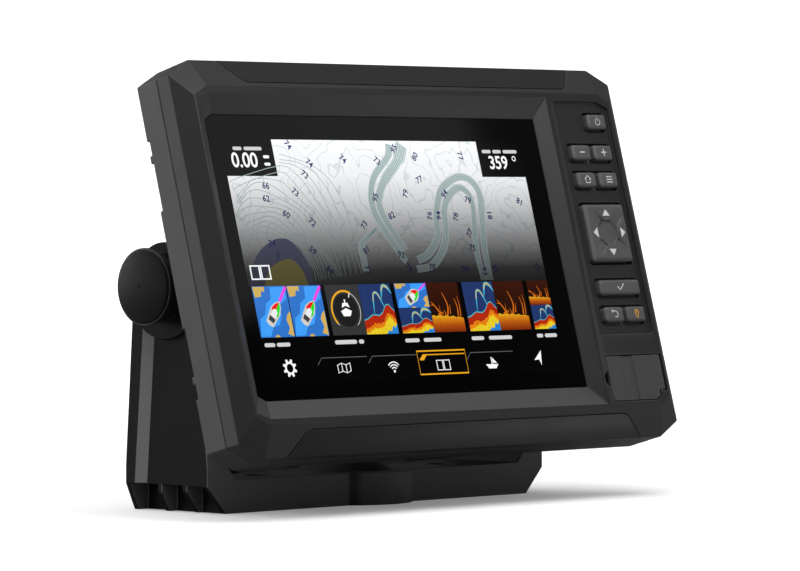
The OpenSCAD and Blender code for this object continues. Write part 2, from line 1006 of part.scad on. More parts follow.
module power_key() color("#48494a") on_unit() small_key(right_col, rows[0], key_w);
module zoom_out_key() color("#48494a") on_unit() small_key(left_col, rows[1], key_w);
module zoom_in_key() color("#48494a") on_unit() small_key(right_col, rows[1], key_w);
module home_key() color("#48494a") on_unit() small_key(left_col, rows[2], key_w);
module menu_key() color("#48494a") on_unit() small_key(right_col, rows[2], key_w);
module select_key() color("#48494a") on_unit() small_key(mid_col, rows[4], wide_key);
module back_key() color("#48494a") on_unit() small_key(left_col, rows[5], key_w);
module mark_key() color("#48494a") on_unit() small_key(right_col, rows[5], key_w);

module dpad_gimbal() color("#9a9c9e") on_unit()
    translate([mid_col, rows[3], 0])
        difference() {
            bar(3.4, -2.3, -1.65);
            bar(2, -3, -1);
        }

// Rocker plate: sunken eight-sided middle with four grooves running out to the corners
module dpad_key() color("#48494a") on_unit()
    difference() {
        key(mid_col, rows[3], rocker_w, rocker_w, 1.3, rocker_flange_top, 1.2);
        translate([mid_col, rows[3], 0]) {
            rotate(22.5)
                translate([0, 0, key_top - 1])
                    cylinder(r = 5.2, h = 2, $fn = 8);
            // Ramps from the middle out to the corners
            for (a = [45:90:315])
                rotate(a)
                    translate([4, -1.9, key_top - 1])
                        rotate([0, -7, 0])
                            cube([9, 3.8, 3]);
            bar(3.9, -6, rocker_flange_top - 0.9);
        }
    }

/* ---------- card door ---------- */

module card_door() color("#363738") on_unit()
    difference() {
        union() {
            difference() {
                translate([0, 0, door_axis[1]])
                    linear_extrude(door_t)
                        intersection() {
                            door_outline(door_gap);
                            translate([0, -far])
                                square([door_axis[0], 2 * far]);
                        }
                // Sunken upright band
                block([85, door_y[0] - 1, lip_h - 0.5], [91.6, door_y[1] + 1, lip_h + 1]);
                // Clearance for the swing, below the knuckle
                block([door_axis[0] - 2.6, door_y[0] - 1, lip_h - 5], [120, knuckle_y, lip_h + 1]);
            }
            door_bar(door_t, knuckle_y, door_y[1] - door_gap);
        }
        door_bar(door_pin_r + 0.05, -60, -30);
    }

module card_door_seal() color("#161616") on_unit()
    difference() {
        slab(90.5, -50, 20.2, 11.2, door_axis[1] - 1.4, door_axis[1]);
        slab(90.5, -50, 17.6, 8.6, door_axis[1] - 2, door_axis[1] - 0.4);
    }

/* ---------- clamping knobs ---------- */

// Puts a shape drawn along +z from the arm's outer face onto the left or right arm
module at_arm(s) {
    translate([s * (arm_out + eps), pivot_y, pivot_z])
        rotate([0, s * 90, 0])
            children();
}

module knob_washer(s) {
    at_arm(s)
        difference() {
            bar(9, 0, 1);
            bar(stud_r + 0.2, -1, 2);
        }
}

// Grip body: a rim for the cap to sit on, and six groups of short grooves
module knob_body(s) {
    at_arm(s)
        difference() {
            union() {
                bar(knob_r - 1.1, 1.1, knob_l - 1.6);
                bar(knob_r, knob_l - 2.7, knob_l - 0.9);
            }
            for (a = [30:60:330])
                rotate(a)
                    for (k = [-1:1])
                        rotate(k * 7)
                            translate([knob_r - 0.9, 0, 1.8])
                                cylinder(r = 0.55, h = 3.2);
            bar(stud_r, -1, knob_l - 3.5);
            bar(5, knob_l - 5.5, knob_l - 2.5);
        }
}

// Domed cap: a disc whose outer face is a slice of a large ball
module knob_cap(s) {
    r = knob_r - 0.8;
    rise = 1.7;
    ball = (r * r + rise * rise) / (2 * rise);
    at_arm(s)
        translate([0, 0, knob_l - 0.85])
            rotate_extrude($fn = 180)
                intersection() {
                    square([r, 0.6 + rise]);
                    translate([0, 0.6 + rise - ball])
                        circle(r = ball, $fn = 720);
                }
}

module knob_stud(s) {
    reach = ear_x - insert_l + 2.6;
    at_arm(s) {
        bar(stud_r - 0.01, reach - arm_out, knob_l - 5);
        bar(4.95, knob_l - 5.45, knob_l - 2.55);
    }
}

module knob_washer_left() color("#d9d6cc") knob_washer(-1);
module knob_washer_right() color("#d9d6cc") knob_washer(1);
module knob_body_left() color("#262728") knob_body(-1);
module knob_body_right() color("#262728") knob_body(1);
module knob_cap_left() color("#303132") knob_cap(-1);
module knob_cap_right() color("#303132") knob_cap(1);
module knob_stud_left() color("#b0b2b4") knob_stud(-1);
module knob_stud_right() color("#b0b2b4") knob_stud(1);

bail_bracket();
front_bezel();
top_trim();
bottom_trim();
rear_housing();
display_glass();
glass_gasket();
lcd_panel();
backlight_unit();
chassis_plate();
chassis_screws();
main_board();
processor_shield();
beeper();
satellite_antenna();
wireless_antenna();
display_flex();
keypad_flex();
keypad_board();
keypad_mat();
dpad_post();
card_reader();
door_hinge_pin();
housing_gasket();
housing_screws();
vent_plug();
power_socket();
transducer_socket();
network_socket();
socket_pins();
pivot_inserts();
friction_washers();
power_key();
zoom_out_key();
zoom_in_key();
home_key();
menu_key();
dpad_gimbal();
dpad_key();
select_key();
back_key();
mark_key();
card_door();
card_door_seal();
knob_washer_left();
knob_body_left();
knob_cap_left();
knob_stud_left();
knob_washer_right();
knob_body_right();
knob_cap_right();
knob_stud_right();
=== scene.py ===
"""Looks for a chartplotter display on a bail mount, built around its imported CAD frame."""
import json
import math
import random

import bpy
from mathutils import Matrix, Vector


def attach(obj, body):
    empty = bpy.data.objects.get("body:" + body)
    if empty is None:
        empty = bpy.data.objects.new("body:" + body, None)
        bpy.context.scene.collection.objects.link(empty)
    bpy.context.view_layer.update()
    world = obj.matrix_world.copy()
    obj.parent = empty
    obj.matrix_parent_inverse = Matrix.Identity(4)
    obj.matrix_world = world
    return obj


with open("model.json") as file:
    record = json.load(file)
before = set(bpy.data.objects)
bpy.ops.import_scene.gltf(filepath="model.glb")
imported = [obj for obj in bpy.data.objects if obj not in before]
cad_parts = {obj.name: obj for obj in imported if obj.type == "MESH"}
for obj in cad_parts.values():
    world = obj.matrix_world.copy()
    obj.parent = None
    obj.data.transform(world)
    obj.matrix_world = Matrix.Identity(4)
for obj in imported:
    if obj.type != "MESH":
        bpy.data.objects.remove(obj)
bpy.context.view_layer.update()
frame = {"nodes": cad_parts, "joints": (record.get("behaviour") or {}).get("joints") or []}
nodes = frame["nodes"]
scene = bpy.context.scene
MM = 0.001
CURVE_STEPS = 6  # parts between two points of a smooth curve
random.seed(7)

# -------------------------------- the unit's own axes

door_joint = next(j for j in frame["joints"] if j["name"] == "card_door_swing")
RIGHT = Vector((1, 0, 0))
UP = Vector(door_joint["axis"]).normalized()
OUT = RIGHT.cross(UP)
# The lit picture on the glass, in mm: its size, and how far right of the panel's middle it sits
PICTURE_W = 154.1
PICTURE_H = 88.0
PICTURE_SHIFT = -1.35


def spans(node):
    """Lowest and highest place of a CAD node along the unit's own three axes, in metres."""
    found = []
    for axis in (RIGHT, UP, OUT):
        along = [axis.dot(v.co) for v in nodes[node].data.vertices]
        found.append((min(along), max(along)))
    return found


lcd = spans("lcd_panel")
GLASS_TOP = spans("display_glass")[2][1]
CENTRE = (RIGHT * (sum(lcd[0]) / 2 + PICTURE_SHIFT * MM) + UP * (sum(lcd[1]) / 2)
          + OUT * GLASS_TOP)


def on_face(u, v, w=0.0):
    """A point given in mm from the middle of the picture: right, up, and out of the glass."""
    return CENTRE + (RIGHT * u + UP * v + OUT * w) * MM


# -------------------------------- materials

GLASS_POLISH = (0.08, 0.14)  # roughness of the glass over the lit picture, at its least and most

class Shader:
    """A node tree that is built up by short calls."""

    def __init__(self, name):
        self.material = bpy.data.materials.new(name)
        self.material.use_nodes = True
        self.tree = self.material.node_tree
        self.bsdf = self.tree.nodes["Principled BSDF"]
        self.place = self.add("ShaderNodeTexCoord").outputs["Object"]

    def add(self, kind, **values):
        node = self.tree.nodes.new(kind)
        for key, value in values.items():
            setattr(node, key, value)
        return node

    def link(self, source, target):
        self.tree.links.new(source, target)

    def noise(self, scale, detail=3.0, rough=0.55, where=None):
        node = self.add("ShaderNodeTexNoise")
        node.inputs["Scale"].default_value = scale
        node.inputs["Detail"].default_value = detail
        node.inputs["Roughness"].default_value = rough
        self.link(where or self.place, node.inputs["Vector"])
        return node.outputs["Fac"]

    def math(self, kind, a, b=0.0):
        node = self.add("ShaderNodeMath", operation=kind)
        for socket, value in zip(node.inputs, (a, b)):
            if isinstance(value, (int, float)):
                socket.default_value = value
            else:
                self.link(value, socket)
        return node.outputs[0]

    def ramp(self, fac, stops, mode="LINEAR"):
        node = self.add("ShaderNodeValToRGB")
        node.color_ramp.interpolation = mode
        elements = node.color_ramp.elements
        while len(elements) < len(stops):
            elements.new(0.5)
        for element, (position, colour) in zip(elements, stops):
            element.position = position
            element.color = (*colour, 1)
        self.link(fac, node.inputs["Fac"])
        return node.outputs["Color"]

    def mix(self, fac, a, b):
        node = self.add("ShaderNodeMix", data_type="RGBA")
        for socket, value in ((node.inputs[0], fac), (node.inputs[6], a), (node.inputs[7], b)):
            if isinstance(value, (int, float)):
                socket.default_value = value
            elif isinstance(value, tuple):
                socket.default_value = (*value, 1)
            else:
                self.link(value, socket)
        return node.outputs[2]

    def spread(self, fac, low, high):
        node = self.add("ShaderNodeMapRange")
        node.inputs["To Min"].default_value = low
        node.inputs["To Max"].default_value = high
        self.link(fac, node.inputs["Value"])
        return node.outputs["Result"]

    def bump(self, height, depth_mm, strength=1.0):
        node = self.add("ShaderNodeBump")
        node.inputs["Strength"].default_value = strength
        node.inputs["Distance"].default_value = depth_mm * MM
        self.link(height, node.inputs["Height"])
        return node.outputs["Normal"]

    def times(self, a, b):
        """Two colours multiplied."""
        node = self.add("ShaderNodeMix", data_type="RGBA", blend_type="MULTIPLY")
        node.inputs[0].default_value = 1.0
        self.link(a, node.inputs[6])
        self.link(b, node.inputs[7])
        return node.outputs[2]

    def glow(self, under, tone):
        """A finish that glows behind the polish of the glass, over a dark colour."""
        return self.set(base_color=under, emission_color=tone, emission_strength=1.0,
                        roughness=self.spread(self.noise(28, 4), *GLASS_POLISH))

    def along(self, axis, low, high, centre=CENTRE):
        """0 to 1 between two distances in mm from a point, measured along an axis."""
        offset = self.add("ShaderNodeVectorMath", operation="SUBTRACT")
        self.link(self.place, offset.inputs[0])
        offset.inputs[1].default_value = centre
        dot = self.add("ShaderNodeVectorMath", operation="DOT_PRODUCT")
        self.link(offset.outputs["Vector"], dot.inputs[0])
        dot.inputs[1].default_value = axis
        node = self.add("ShaderNodeMapRange")
        node.inputs["From Min"].default_value = low * MM
        node.inputs["From Max"].default_value = high * MM
        self.link(dot.outputs["Value"], node.inputs["Value"])
        return node.outputs["Result"]

    def set(self, **values):
        for key, value in values.items():
            socket = self.bsdf.inputs[key.replace("_", " ").title().replace("Ior", "IOR")]
            if isinstance(value, bpy.types.NodeSocket):
                self.link(value, socket)
            elif isinstance(value, tuple):
                socket.default_value = (*value, 1)
            else:
                socket.default_value = value
        return self.material


def grey(value):
    return (value, value * 1.01, value * 1.03)


def scaled(colour, factor):
    return tuple(min(1.0, c * factor) for c in colour)


def moulded(name, colour, rough=0.5, grain=0.3, depth=0.03, mottle=0.12, shine=0.45,
            painted_light_zones=(), bands=()):
    """Moulded plastic with a spark-eroded grain: grain and depth are in mm.
    Each zone is painted light, faces painted paler as if lit: a way that faces look, how far
    from it they may turn, the height on the unit below which they count, and their colour.
    Each band lies between two distances across the unit, and has its own colour."""
    s = Shader(name)
    cloud = s.noise(45, 4)
    fleck = s.noise(1 / (grain * 2.2 * MM), 2)
    base = s.mix(cloud, scaled(colour, 1 - mottle), scaled(colour, 1 + mottle))
    base = s.mix(s.spread(fleck, 0.0, 0.45), base, scaled(colour, 1.5))
    for low, high, band_tone in bands:
        inside = s.math("MULTIPLY", s.along(RIGHT, low - 0.05, low + 0.05),
                        s.math("SUBTRACT", 1.0, s.along(RIGHT, high - 0.05, high + 0.05)))
        base = s.mix(inside, base, s.mix(fleck, scaled(band_tone, 0.85), scaled(band_tone, 1.15)))
    # Painted light: faces that look a given way, below a given height, are painted paler as if lit
    for way, turn, top, painted_tone in painted_light_zones:
        inside = s.math("MULTIPLY", facing(s, way, turn), s.along(UP, top, top - 1))
        base = s.mix(inside, base, s.mix(fleck, scaled(painted_tone, 0.85), scaled(painted_tone, 1.15)))
    texture = s.noise(1 / (grain * MM), 2, 0.6)
    flow = s.noise(160, 3)
    wear = s.math("ADD", s.math("MULTIPLY", flow, 0.5), s.math("MULTIPLY", fleck, 0.5))
    return s.set(
        base_color=base,
        roughness=s.spread(wear, rough - 0.12, rough + 0.12),
        normal=s.bump(texture, depth, 0.7),
        specular_ior_level=shine,
    )


def facing(s, way, spread):
    """1 where the surface looks along way, fading to 0 over spread; left and right are alike."""
    flat = s.add("ShaderNodeTexCoord").outputs["Normal"]
    parts = s.add("ShaderNodeSeparateXYZ")
    s.link(flat, parts.inputs[0])
    across = s.math("ABSOLUTE", parts.outputs["X"])
    joined = s.add("ShaderNodeCombineXYZ")
    s.link(across, joined.inputs["X"])
    for axis in "YZ":
        s.link(parts.outputs[axis], joined.inputs[axis])
    dot = s.add("ShaderNodeVectorMath", operation="DOT_PRODUCT")
    s.link(joined.outputs[0], dot.inputs[0])
    dot.inputs[1].default_value = Vector(way).normalized()
    node = s.add("ShaderNodeMapRange")
    node.inputs["From Min"].default_value = 1 - spread
    node.inputs["From Max"].default_value = 1 - spread / 2
    s.link(dot.outputs["Value"], node.inputs["Value"])
    return node.outputs["Result"]


def rubber(name, colour):
    s = Shader(name)
    pits = s.noise(2200, 3)
    base = s.mix(s.noise(70, 4), scaled(colour, 0.8), scaled(colour, 1.35))
    return s.set(base_color=base, roughness=s.spread(pits, 0.62, 0.88), normal=s.bump(pits, 0.04))


def metal(name, colour, rough, brushed=True):
    """Bare metal: brushed along x, or turned and softly mottled."""
    s = Shader(name)
    stretch = s.add("ShaderNodeMapping")
    stretch.inputs["Scale"].default_value = (0.03, 1, 1) if brushed else (1, 1, 1)
    s.link(s.place, stretch.inputs["Vector"])
    lines = s.noise(3500 if brushed else 1200, 3, 0.6, stretch.outputs["Vector"])
    base = s.mix(s.noise(90, 3), scaled(colour, 0.86), scaled(colour, 1.06))
    return s.set(
        base_color=base,
        metallic=1.0,
        roughness=s.spread(lines, rough - 0.08, rough + 0.14),
        normal=s.bump(lines, 0.01, 0.5),
    )


def circuit(name):
    """Green solder mask with buried copper tracks."""
    s = Shader(name)
    cells = s.add("ShaderNodeTexVoronoi", feature="DISTANCE_TO_EDGE", distance="CHEBYCHEV")
    cells.inputs["Scale"].default_value = 260
    s.link(s.place, cells.inputs["Vector"])
    track = s.ramp(cells.outputs["Distance"], [(0.0, (1, 1, 1)), (0.09, (0, 0, 0))], "CONSTANT")
    base = s.mix(s.noise(60, 3), (0.012, 0.085, 0.035), (0.02, 0.12, 0.05))
    base = s.mix(track, base, (0.05, 0.2, 0.09))
    return s.set(base_color=base, roughness=s.spread(s.noise(500), 0.3, 0.5),
                 normal=s.bump(track, 0.03))


def glossy_black(name, colour=(0.0008, 0.0008, 0.001), rough=0.07):
    """Polished cover glass with a black print behind it, and faint wiping marks."""
    s = Shader(name)
    smear = s.noise(28, 5, 0.6)
    fine = s.noise(900, 2)
    base = s.mix(smear, scaled(colour, 0.7), scaled(colour, 1.5))
    return s.set(
        base_color=base,
        roughness=s.spread(smear, rough, rough + 0.03),
        normal=s.bump(fine, 0.0006, 0.3),
        specular_ior_level=0.5,
        ior=1.5,
    )


def lit(name, colour, vary=0.05, fine=700):
    """A lit patch of the picture: it glows a little, behind the polish of the glass."""
    s = Shader(name)
    tone = s.mix(s.noise(fine, 2), scaled(colour, 1 - vary), scaled(colour, 1 + vary))
    return s.glow(scaled(colour, 0.05), tone)


def legend(name, colour, glow=0.0):
    """Printed legend: slightly rough ink."""
    s = Shader(name)
    ink = s.noise(1800, 3)
    tone = s.mix(ink, scaled(colour, 0.88), scaled(colour, 1.05))
    s.set(base_color=tone, roughness=s.spread(ink, 0.42, 0.6), normal=s.bump(ink, 0.01))
    if glow:
        s.set(emission_color=tone, emission_strength=glow)
    return s.material


# -------------------------------- mesh helpers


def built(name, verts, faces, material):
    """A mesh object from points and faces."""
    mesh = bpy.data.meshes.new(name)
    mesh.from_pydata([tuple(v) for v in verts], [], faces)
    mesh.validate()
    mesh.update()
    mesh.materials.append(material)
    obj = bpy.data.objects.new(name, mesh)
    scene.collection.objects.link(obj)
    return obj


def piece(name, verts, faces, material, body):
    """A piece that rides a body, with the finish it is given."""
    obj = built(name, verts, faces, material)
    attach(obj, body)


class Ink:
    """Thin closed solids laid on a plane, gathered into one piece."""

    def __init__(self, at=on_face):
        self.at = at
        self.verts = []
        self.faces = []

    def patch(self, outline, w0, w1):
        """A flat shape with that outline, from w0 to w1 above the plane, in mm."""
        n = len(outline)
        start = len(self.verts)
        area = sum(outline[i - 1][0] * outline[i][1] - outline[i][0] * outline[i - 1][1]
                   for i in range(n))
        if area < 0:
            outline = outline[::-1]
        self.verts += [self.at(u, v, w1) for u, v in outline]
        self.verts += [self.at(u, v, w0) for u, v in outline]
        self.faces.append(list(range(start, start + n)))
        self.faces.append(list(range(start + 2 * n - 1, start + n - 1, -1)))
        for i in range(n):
            j = (i + 1) % n
            self.faces.append([start + i, start + n + i, start + n + j, start + j])
        return self

    def box(self, u0, v0, u1, v1, w0, w1):
        return self.patch([(u0, v0), (u1, v0), (u1, v1), (u0, v1)], w0, w1)

    def line(self, points, width, w0, w1, closed=False):
        """A strip of that width along a line. Width may be a number or one for each point."""
        n = len(points)
        widths = [width] * n if isinstance(width, (int, float)) else width
        sides = []
        for i, (x, y) in enumerate(points):
            before = points[i - 1] if i or closed else points[i]
            after = points[(i + 1) % n] if i < n - 1 or closed else points[i]
            dx, dy = after[0] - before[0], after[1] - before[1]
            size = math.hypot(dx, dy) or 1.0
            nx, ny = -dy / size * widths[i] / 2, dx / size * widths[i] / 2
            sides.append(((x + nx, y + ny), (x - nx, y - ny)))
        start = len(self.verts)
        for w in (w1, w0):
            for left, right in sides:
                self.verts += [self.at(*left, w), self.at(*right, w)]
        for i in range(n if closed else n - 1):
            a, b = start + 2 * i, start + 2 * ((i + 1) % n)
            c, d = a + 2 * n, b + 2 * n
            self.faces += [[a, a + 1, b + 1, b], [c, d, d + 1, c + 1], [a, b, d, c],
                           [a + 1, c + 1, d + 1, b + 1]]
        if not closed:
            a, z = start, start + 2 * n - 2
            self.faces += [[a, a + 2 * n, a + 2 * n + 1, a + 1], [z, z + 1, z + 2 * n + 1, z + 2 * n]]
        return self

    def disc(self, u, v, r, w0, w1):
        return self.patch(ring(u, v, r), w0, w1)

    def digits(self, text, u, v, size, turn=0.0, w0=0.1, w1=0.13, spacing=1.0, bold=0.0):
        """Numerals set in the built-in typeface, centred on a point and turned anticlockwise."""
        curve = bpy.data.curves.new("digits", "FONT")
        curve.body = text
        curve.size = size
        curve.align_x = "CENTER"
        curve.align_y = "CENTER"
        curve.space_character = spacing
        curve.offset = bold
        curve.extrude = (w1 - w0) / 2
        curve.resolution_u = 4
        holder = bpy.data.objects.new("digits", curve)
        scene.collection.objects.link(holder)
        bpy.context.view_layer.update()
        mesh = holder.to_mesh()
        start = len(self.verts)
        c, s = math.cos(math.radians(turn)), math.sin(math.radians(turn))
        for p in mesh.vertices:
            x, y, z = p.co
            self.verts.append(self.at(u + x * c - y * s, v + x * s + y * c, z + (w0 + w1) / 2))
        self.faces += [[start + k for k in face.vertices] for face in mesh.polygons]
        holder.to_mesh_clear()
        bpy.data.objects.remove(holder)
        bpy.data.curves.remove(curve)
        return self

    def done(self, name, material, body="unit", slot="lcd"):
        piece(name, self.verts, self.faces, material, body)


def ring(u, v, r, start=0.0, end=360.0, steps=40):
    """Points round an arc. A whole circle isn't closed by repeating its first point."""
    whole = abs(end - start) >= 360
    count = steps if whole else steps + 1
    turns = [math.radians(start + (end - start) * i / steps) for i in range(count)]
    return [(u + r * math.cos(t), v + r * math.sin(t)) for t in turns]


def smooth(points, closed=False, steps=CURVE_STEPS):
    """A smooth curve through a few points."""
    n = len(points)
    out = []
    for i in range(n if closed else n - 1):
        if closed:
            p = [points[(i + k - 1) % n] for k in range(4)]
        else:
            p = [points[max(0, min(n - 1, i + k - 1))] for k in range(4)]
        for s in range(steps):
            t = s / steps
            out.append(tuple(
                0.5 * (2 * p[1][a] + (p[2][a] - p[0][a]) * t
                       + (2 * p[0][a] - 5 * p[1][a] + 4 * p[2][a] - p[3][a]) * t * t
                       + (3 * p[1][a] - p[0][a] - 3 * p[2][a] + p[3][a]) * t ** 3)
                for a in (0, 1)))
    if not closed:
        out.append(points[-1])
    return out


# -------------------------------- the picture on the screen

# Places on the picture are in mm, right and up from its middle
MAP_BOTTOM = -9.6
MAP_TOP = PICTURE_H / 2
MAP_SIDE = 77
SPEED_BOX = (-52.3, 30.5)    # lower inner corner of the black box at the upper left
HEADING_BOX = (53.5, 30.4)   # and of the one at the upper right
FADE_TOP = 36                # above this the chart's ink is at its full colour
THUMB_TOP = MAP_BOTTOM
THUMB_BOTTOM = -28.1
GEAR = (-64.6, -39.3)

# Layers above the glass in mm, from bottom to top
GROUND = (0.05, 0.065)
PRINT = (0.05, 0.07)
OVER = (0.06, 0.075)
LAND = (0.075, 0.085)
HULL = (0.1, 0.112)
DECK = (0.112, 0.12)
CABIN = (0.12, 0.13)


def map_paper():
    """Pale chart paper with depth lines, darkening towards the menu below it."""
    s = Shader("map_paper")
    shade = s.ramp(
        s.along(UP, MAP_BOTTOM, MAP_TOP),
        [(0.0, grey(0.002)), (0.1, grey(0.015)), (0.2, grey(0.08)), (0.32, grey(0.2)),
         (0.45, grey(0.38)), (0.6, grey(0.63)), (0.75, grey(0.86)), (1.0, grey(1.0))],
    )
    bend = s.noise(26, 4, 0.45)
    steps = s.math("FRACT", s.math("MULTIPLY", bend, 22.0))
    edge = s.math("ABSOLUTE", s.math("SUBTRACT", steps, 0.5))
    thin = s.ramp(edge, [(0.0, (1, 1, 1)), (0.045, (1, 1, 1)), (0.075, (0, 0, 0))])
    dark = s.mix(s.math("MULTIPLY", thin, 0.35), (1, 1, 1), (0.35, 0.5, 0.5))
    return s.glow((0.01, 0.01, 0.01), s.times(shade, dark))


def fading(name, top, bottom):
    """Ink on the chart that darkens downwards with the paper."""
    s = Shader(name)
    shade = s.ramp(s.along(UP, MAP_BOTTOM, FADE_TOP),
                   [(0.0, bottom), (0.5, scaled(top, 0.55)), (1.0, top)])
    grain = s.mix(s.noise(900, 2), (0.82, 0.82, 0.82), (1, 1, 1))
    return s.glow(scaled(top, 0.04), s.times(shade, grain))


def beside(path, widths, shift):
    """A line that runs along a path at a share of its width to one side."""
    moved = []
    for i, (x, y) in enumerate(path):
        ahead, behind = path[min(i + 1, len(path) - 1)], path[max(i - 1, 0)]
        dx, dy = ahead[0] - behind[0], ahead[1] - behind[1]
        size = math.hypot(dx, dy) or 1.0
        reach = widths[i] * shift
        moved.append((x - dy / size * reach, y + dx / size * reach))
    return moved


def make_map():
    Ink().box(-PICTURE_W / 2, -PICTURE_H / 2, PICTURE_W / 2, PICTURE_H / 2, 0.0, 0.03).done(
        "picture_back", lit("picture_black", (0.0006, 0.0006, 0.0007)))
    left, left_foot = SPEED_BOX
    right, right_foot = HEADING_BOX
    Ink().patch([(-MAP_SIDE, MAP_BOTTOM), (MAP_SIDE, MAP_BOTTOM), (MAP_SIDE, right_foot),
                 (right, right_foot), (right, MAP_TOP), (left, MAP_TOP), (left, left_foot),
                 (-MAP_SIDE, left_foot)], 0.03, 0.05).done("map_sheet", map_paper())
    # Steep ground: each bank of the winding channel is a band of crowded depth lines
    banks = [
        ([(7.0, 42.6), (5.3, 38), (-3.6, 30.6), (-7.3, 23), (-6.8, 15.8), (-3.2, 9.6), (1, 2.6),
          (4.4, -1.6)], [2.4, 2.0, 2.0, 2.2, 2.2, 2.0, 1.8, 1.5]),
        ([(13.6, 42.4), (9.8, 36.4), (0.6, 28.4), (-3.8, 21.3), (-2.4, 14.5), (1.6, 8), (4.8, 2.4)],
         [4.0, 2.8, 2.4, 2.2, 2.0, 2.2, 2.4]),
        ([(10.4, -1), (16.8, 1.4), (23, 7.8), (24.8, 16), (29.4, 24.8), (36.2, 29.1), (42.3, 30.4),
          (47.4, 28.4), (50.1, 23), (48.6, 13.7), (46.9, 3.4), (46.4, -9)],
         [2.0, 2.2, 2.2, 2.2, 2.2, 2.0, 2.0, 2.2, 2.4, 2.2, 2.2, 2.6]),
        ([(9, -4.4), (17.6, -3), (24.8, 3), (28.3, 10.4), (29.5, 18), (33.8, 23.5), (39.6, 26.2),
          (44, 24), (45.1, 19), (43.8, 11.6), (42.4, 1.4), (43.2, -9)],
         [1.8, 2.2, 2.4, 2.2, 2.2, 2.2, 1.8, 1.8, 1.8, 2.0, 2.0, 2.2]),
        ([(-8, 10.8), (-13, 7.8), (-16.9, 5), (-17.5, 0.5), (-17.3, -5)], [1.0, 1.6, 2.2, 2.2, 1.6]),
    ]
    bank_ink = Ink()
    halo = Ink()
    for points, widths in banks:
        path = smooth(points)
        spread = [w for w in widths for _ in range(CURVE_STEPS)][: len(path)]
        spread += [widths[-1]] * (len(path) - len(spread))
        halo.line(path, [w * 1.5 for w in spread], 0.05, 0.06)
        for shift in (-0.42, -0.14, 0.14, 0.42):
            bank_ink.line(beside(path, spread, shift), 0.24, 0.06, 0.07)
    halo.done("channel_slopes", fading("channel_pale", (0.60, 0.70, 0.69), (0.03, 0.036, 0.036)))
    bank_ink.done("channel_banks", fading("channel_teal", (0.24, 0.38, 0.37), (0.016, 0.028, 0.028)))
    # Shoal in the lower left corner: land, shallow water round it, and crowded lines beyond
    shallow = [(-76.5, MAP_BOTTOM), (-73.2, -2), (-66.2, 4.6), (-56, 8), (-48.4, 4), (-45.6, -3),
               (-44.8, MAP_BOTTOM)]
    land = [(-69.3, MAP_BOTTOM), (-65, -3.4), (-58, -0.3), (-53, -0.3), (-49.3, -4),
            (-47.6, MAP_BOTTOM)]
    Ink().patch(smooth(shallow), 0.05, 0.06).done(
        "map_shallows", fading("shallow_water", (0.10, 0.11, 0.2), (0.012, 0.013, 0.022)))
    Ink().patch(smooth(land), *OVER).done(
        "map_land", fading("land_olive", (0.22, 0.19, 0.05), (0.058, 0.05, 0.012)))
    slopes = Ink()
    shoal_u, shoal_wide, shoal_high = -61, 16, 17.5
    for k in range(16):
        reach = 1.1 + k * (1.3 + 0.05 * k)
        loop = []
        for a in range(5, 176, 10):
            t = math.radians(a)
            sway = 1 + 0.05 * math.sin(3.1 * t + k * 0.35) + 0.03 * math.sin(7 * t + k)
            u = shoal_u + (shoal_wide + reach * 0.9) * math.cos(t) * sway
            v = MAP_BOTTOM + (shoal_high + reach * 1.05) * math.sin(t) * sway
            if -76.8 < u < 76 and v > MAP_BOTTOM and not (u < -52.5 and v > 30.3):
                loop.append((u, v))
        if len(loop) > 3:
            slopes.line(smooth(loop, steps=3), 0.26, 0.05, 0.062)
    slopes.done("shoal_lines", fading("line_teal", (0.40, 0.52, 0.50), (0.03, 0.038, 0.038)))
    soundings = [
        (74, -44.5, 42, -55), (74, -35.5, 35.3, -45), (73, -38.9, 31, -40), (73, -45.3, 24.5, -40),
        (74, -18.2, 36.9, -45), (73, -0.8, 36.3, -40), (95, 9.3, 41, 50), (66, -59.3, 26.9, -5),
        (62, -60.3, 22.2, -5), (60, -51.9, 16.4, -30), (72, -39.8, 13.4, -45), (95, -5.2, 22.6, 65),
        (79, 10.8, 24, 70), (82, 1.3, 15.7, 20), (73, -13.8, 12.3, 50), (24, -61.6, 5.8, -5),
        (3, -59.9, 1.4, -15), (59, -42.2, 3.1, -40), (81, -15.1, 3, 30), (93, 2.2, 1, -10),
        (76, 5, -3.8, -40), (64, -35.5, -4.2, -40), (77, -16.8, -4.3, -80), (80, 19.5, 38, 50),
        (77, 19.4, 29.2, 20), (77, 43.6, 38.5, -80), (94, 31.3, 23.8, 45), (79, 42.9, 21.4, -15),
        (76, 21.2, 15.6, 85), (94, 26, 15.7, 85), (78, 34.9, 15.1, 75), (81, 53.3, 15.8, 90),
        (81, 70.9, 20.7, -30), (77, 40.5, 8.8, 55), (75, 40.4, 3.2, -5), (74, 34.4, -4.9, 5),
        (78, 17.1, -3.8, -5), (93, 44.3, -5.6, -85), (70, 50.3, -4.8, -60), (75, 73.3, -4.3, -45),
    ]
    numerals = Ink()
    for depth, u, v, turn in soundings:
        numerals.digits(str(depth), u, v, 3.3, turn, 0.08, 0.1, 1.05, 0.06)
    numerals.done("map_soundings", fading("navy", (0.018, 0.016, 0.15), (0.006, 0.006, 0.02)))


# -------------------------------- small pictures and icons

WHITE = lit("picture_white", (0.95, 0.96, 0.97), 0.02)
SOFT = lit("picture_soft_white", (0.62, 0.63, 0.64), 0.03)
DIM = lit("picture_line_grey", (0.10, 0.105, 0.11), 0.03)
AMBER = lit("picture_amber", (0.86, 0.40, 0.012), 0.04)


def text_bars(name, rows, material):
    """Neutral rounded bars where a caption would stand: u, v, width and height in mm."""
    ink = Ink()
    for u, v, wide, high in rows:
        r = high / 2
        outline = ring(u + wide - r, v, r, -90, 90, steps=8) + ring(u + r, v, r, 90, 270, steps=8)
        ink.patch(outline, *PRINT)
    ink.done(name, material)


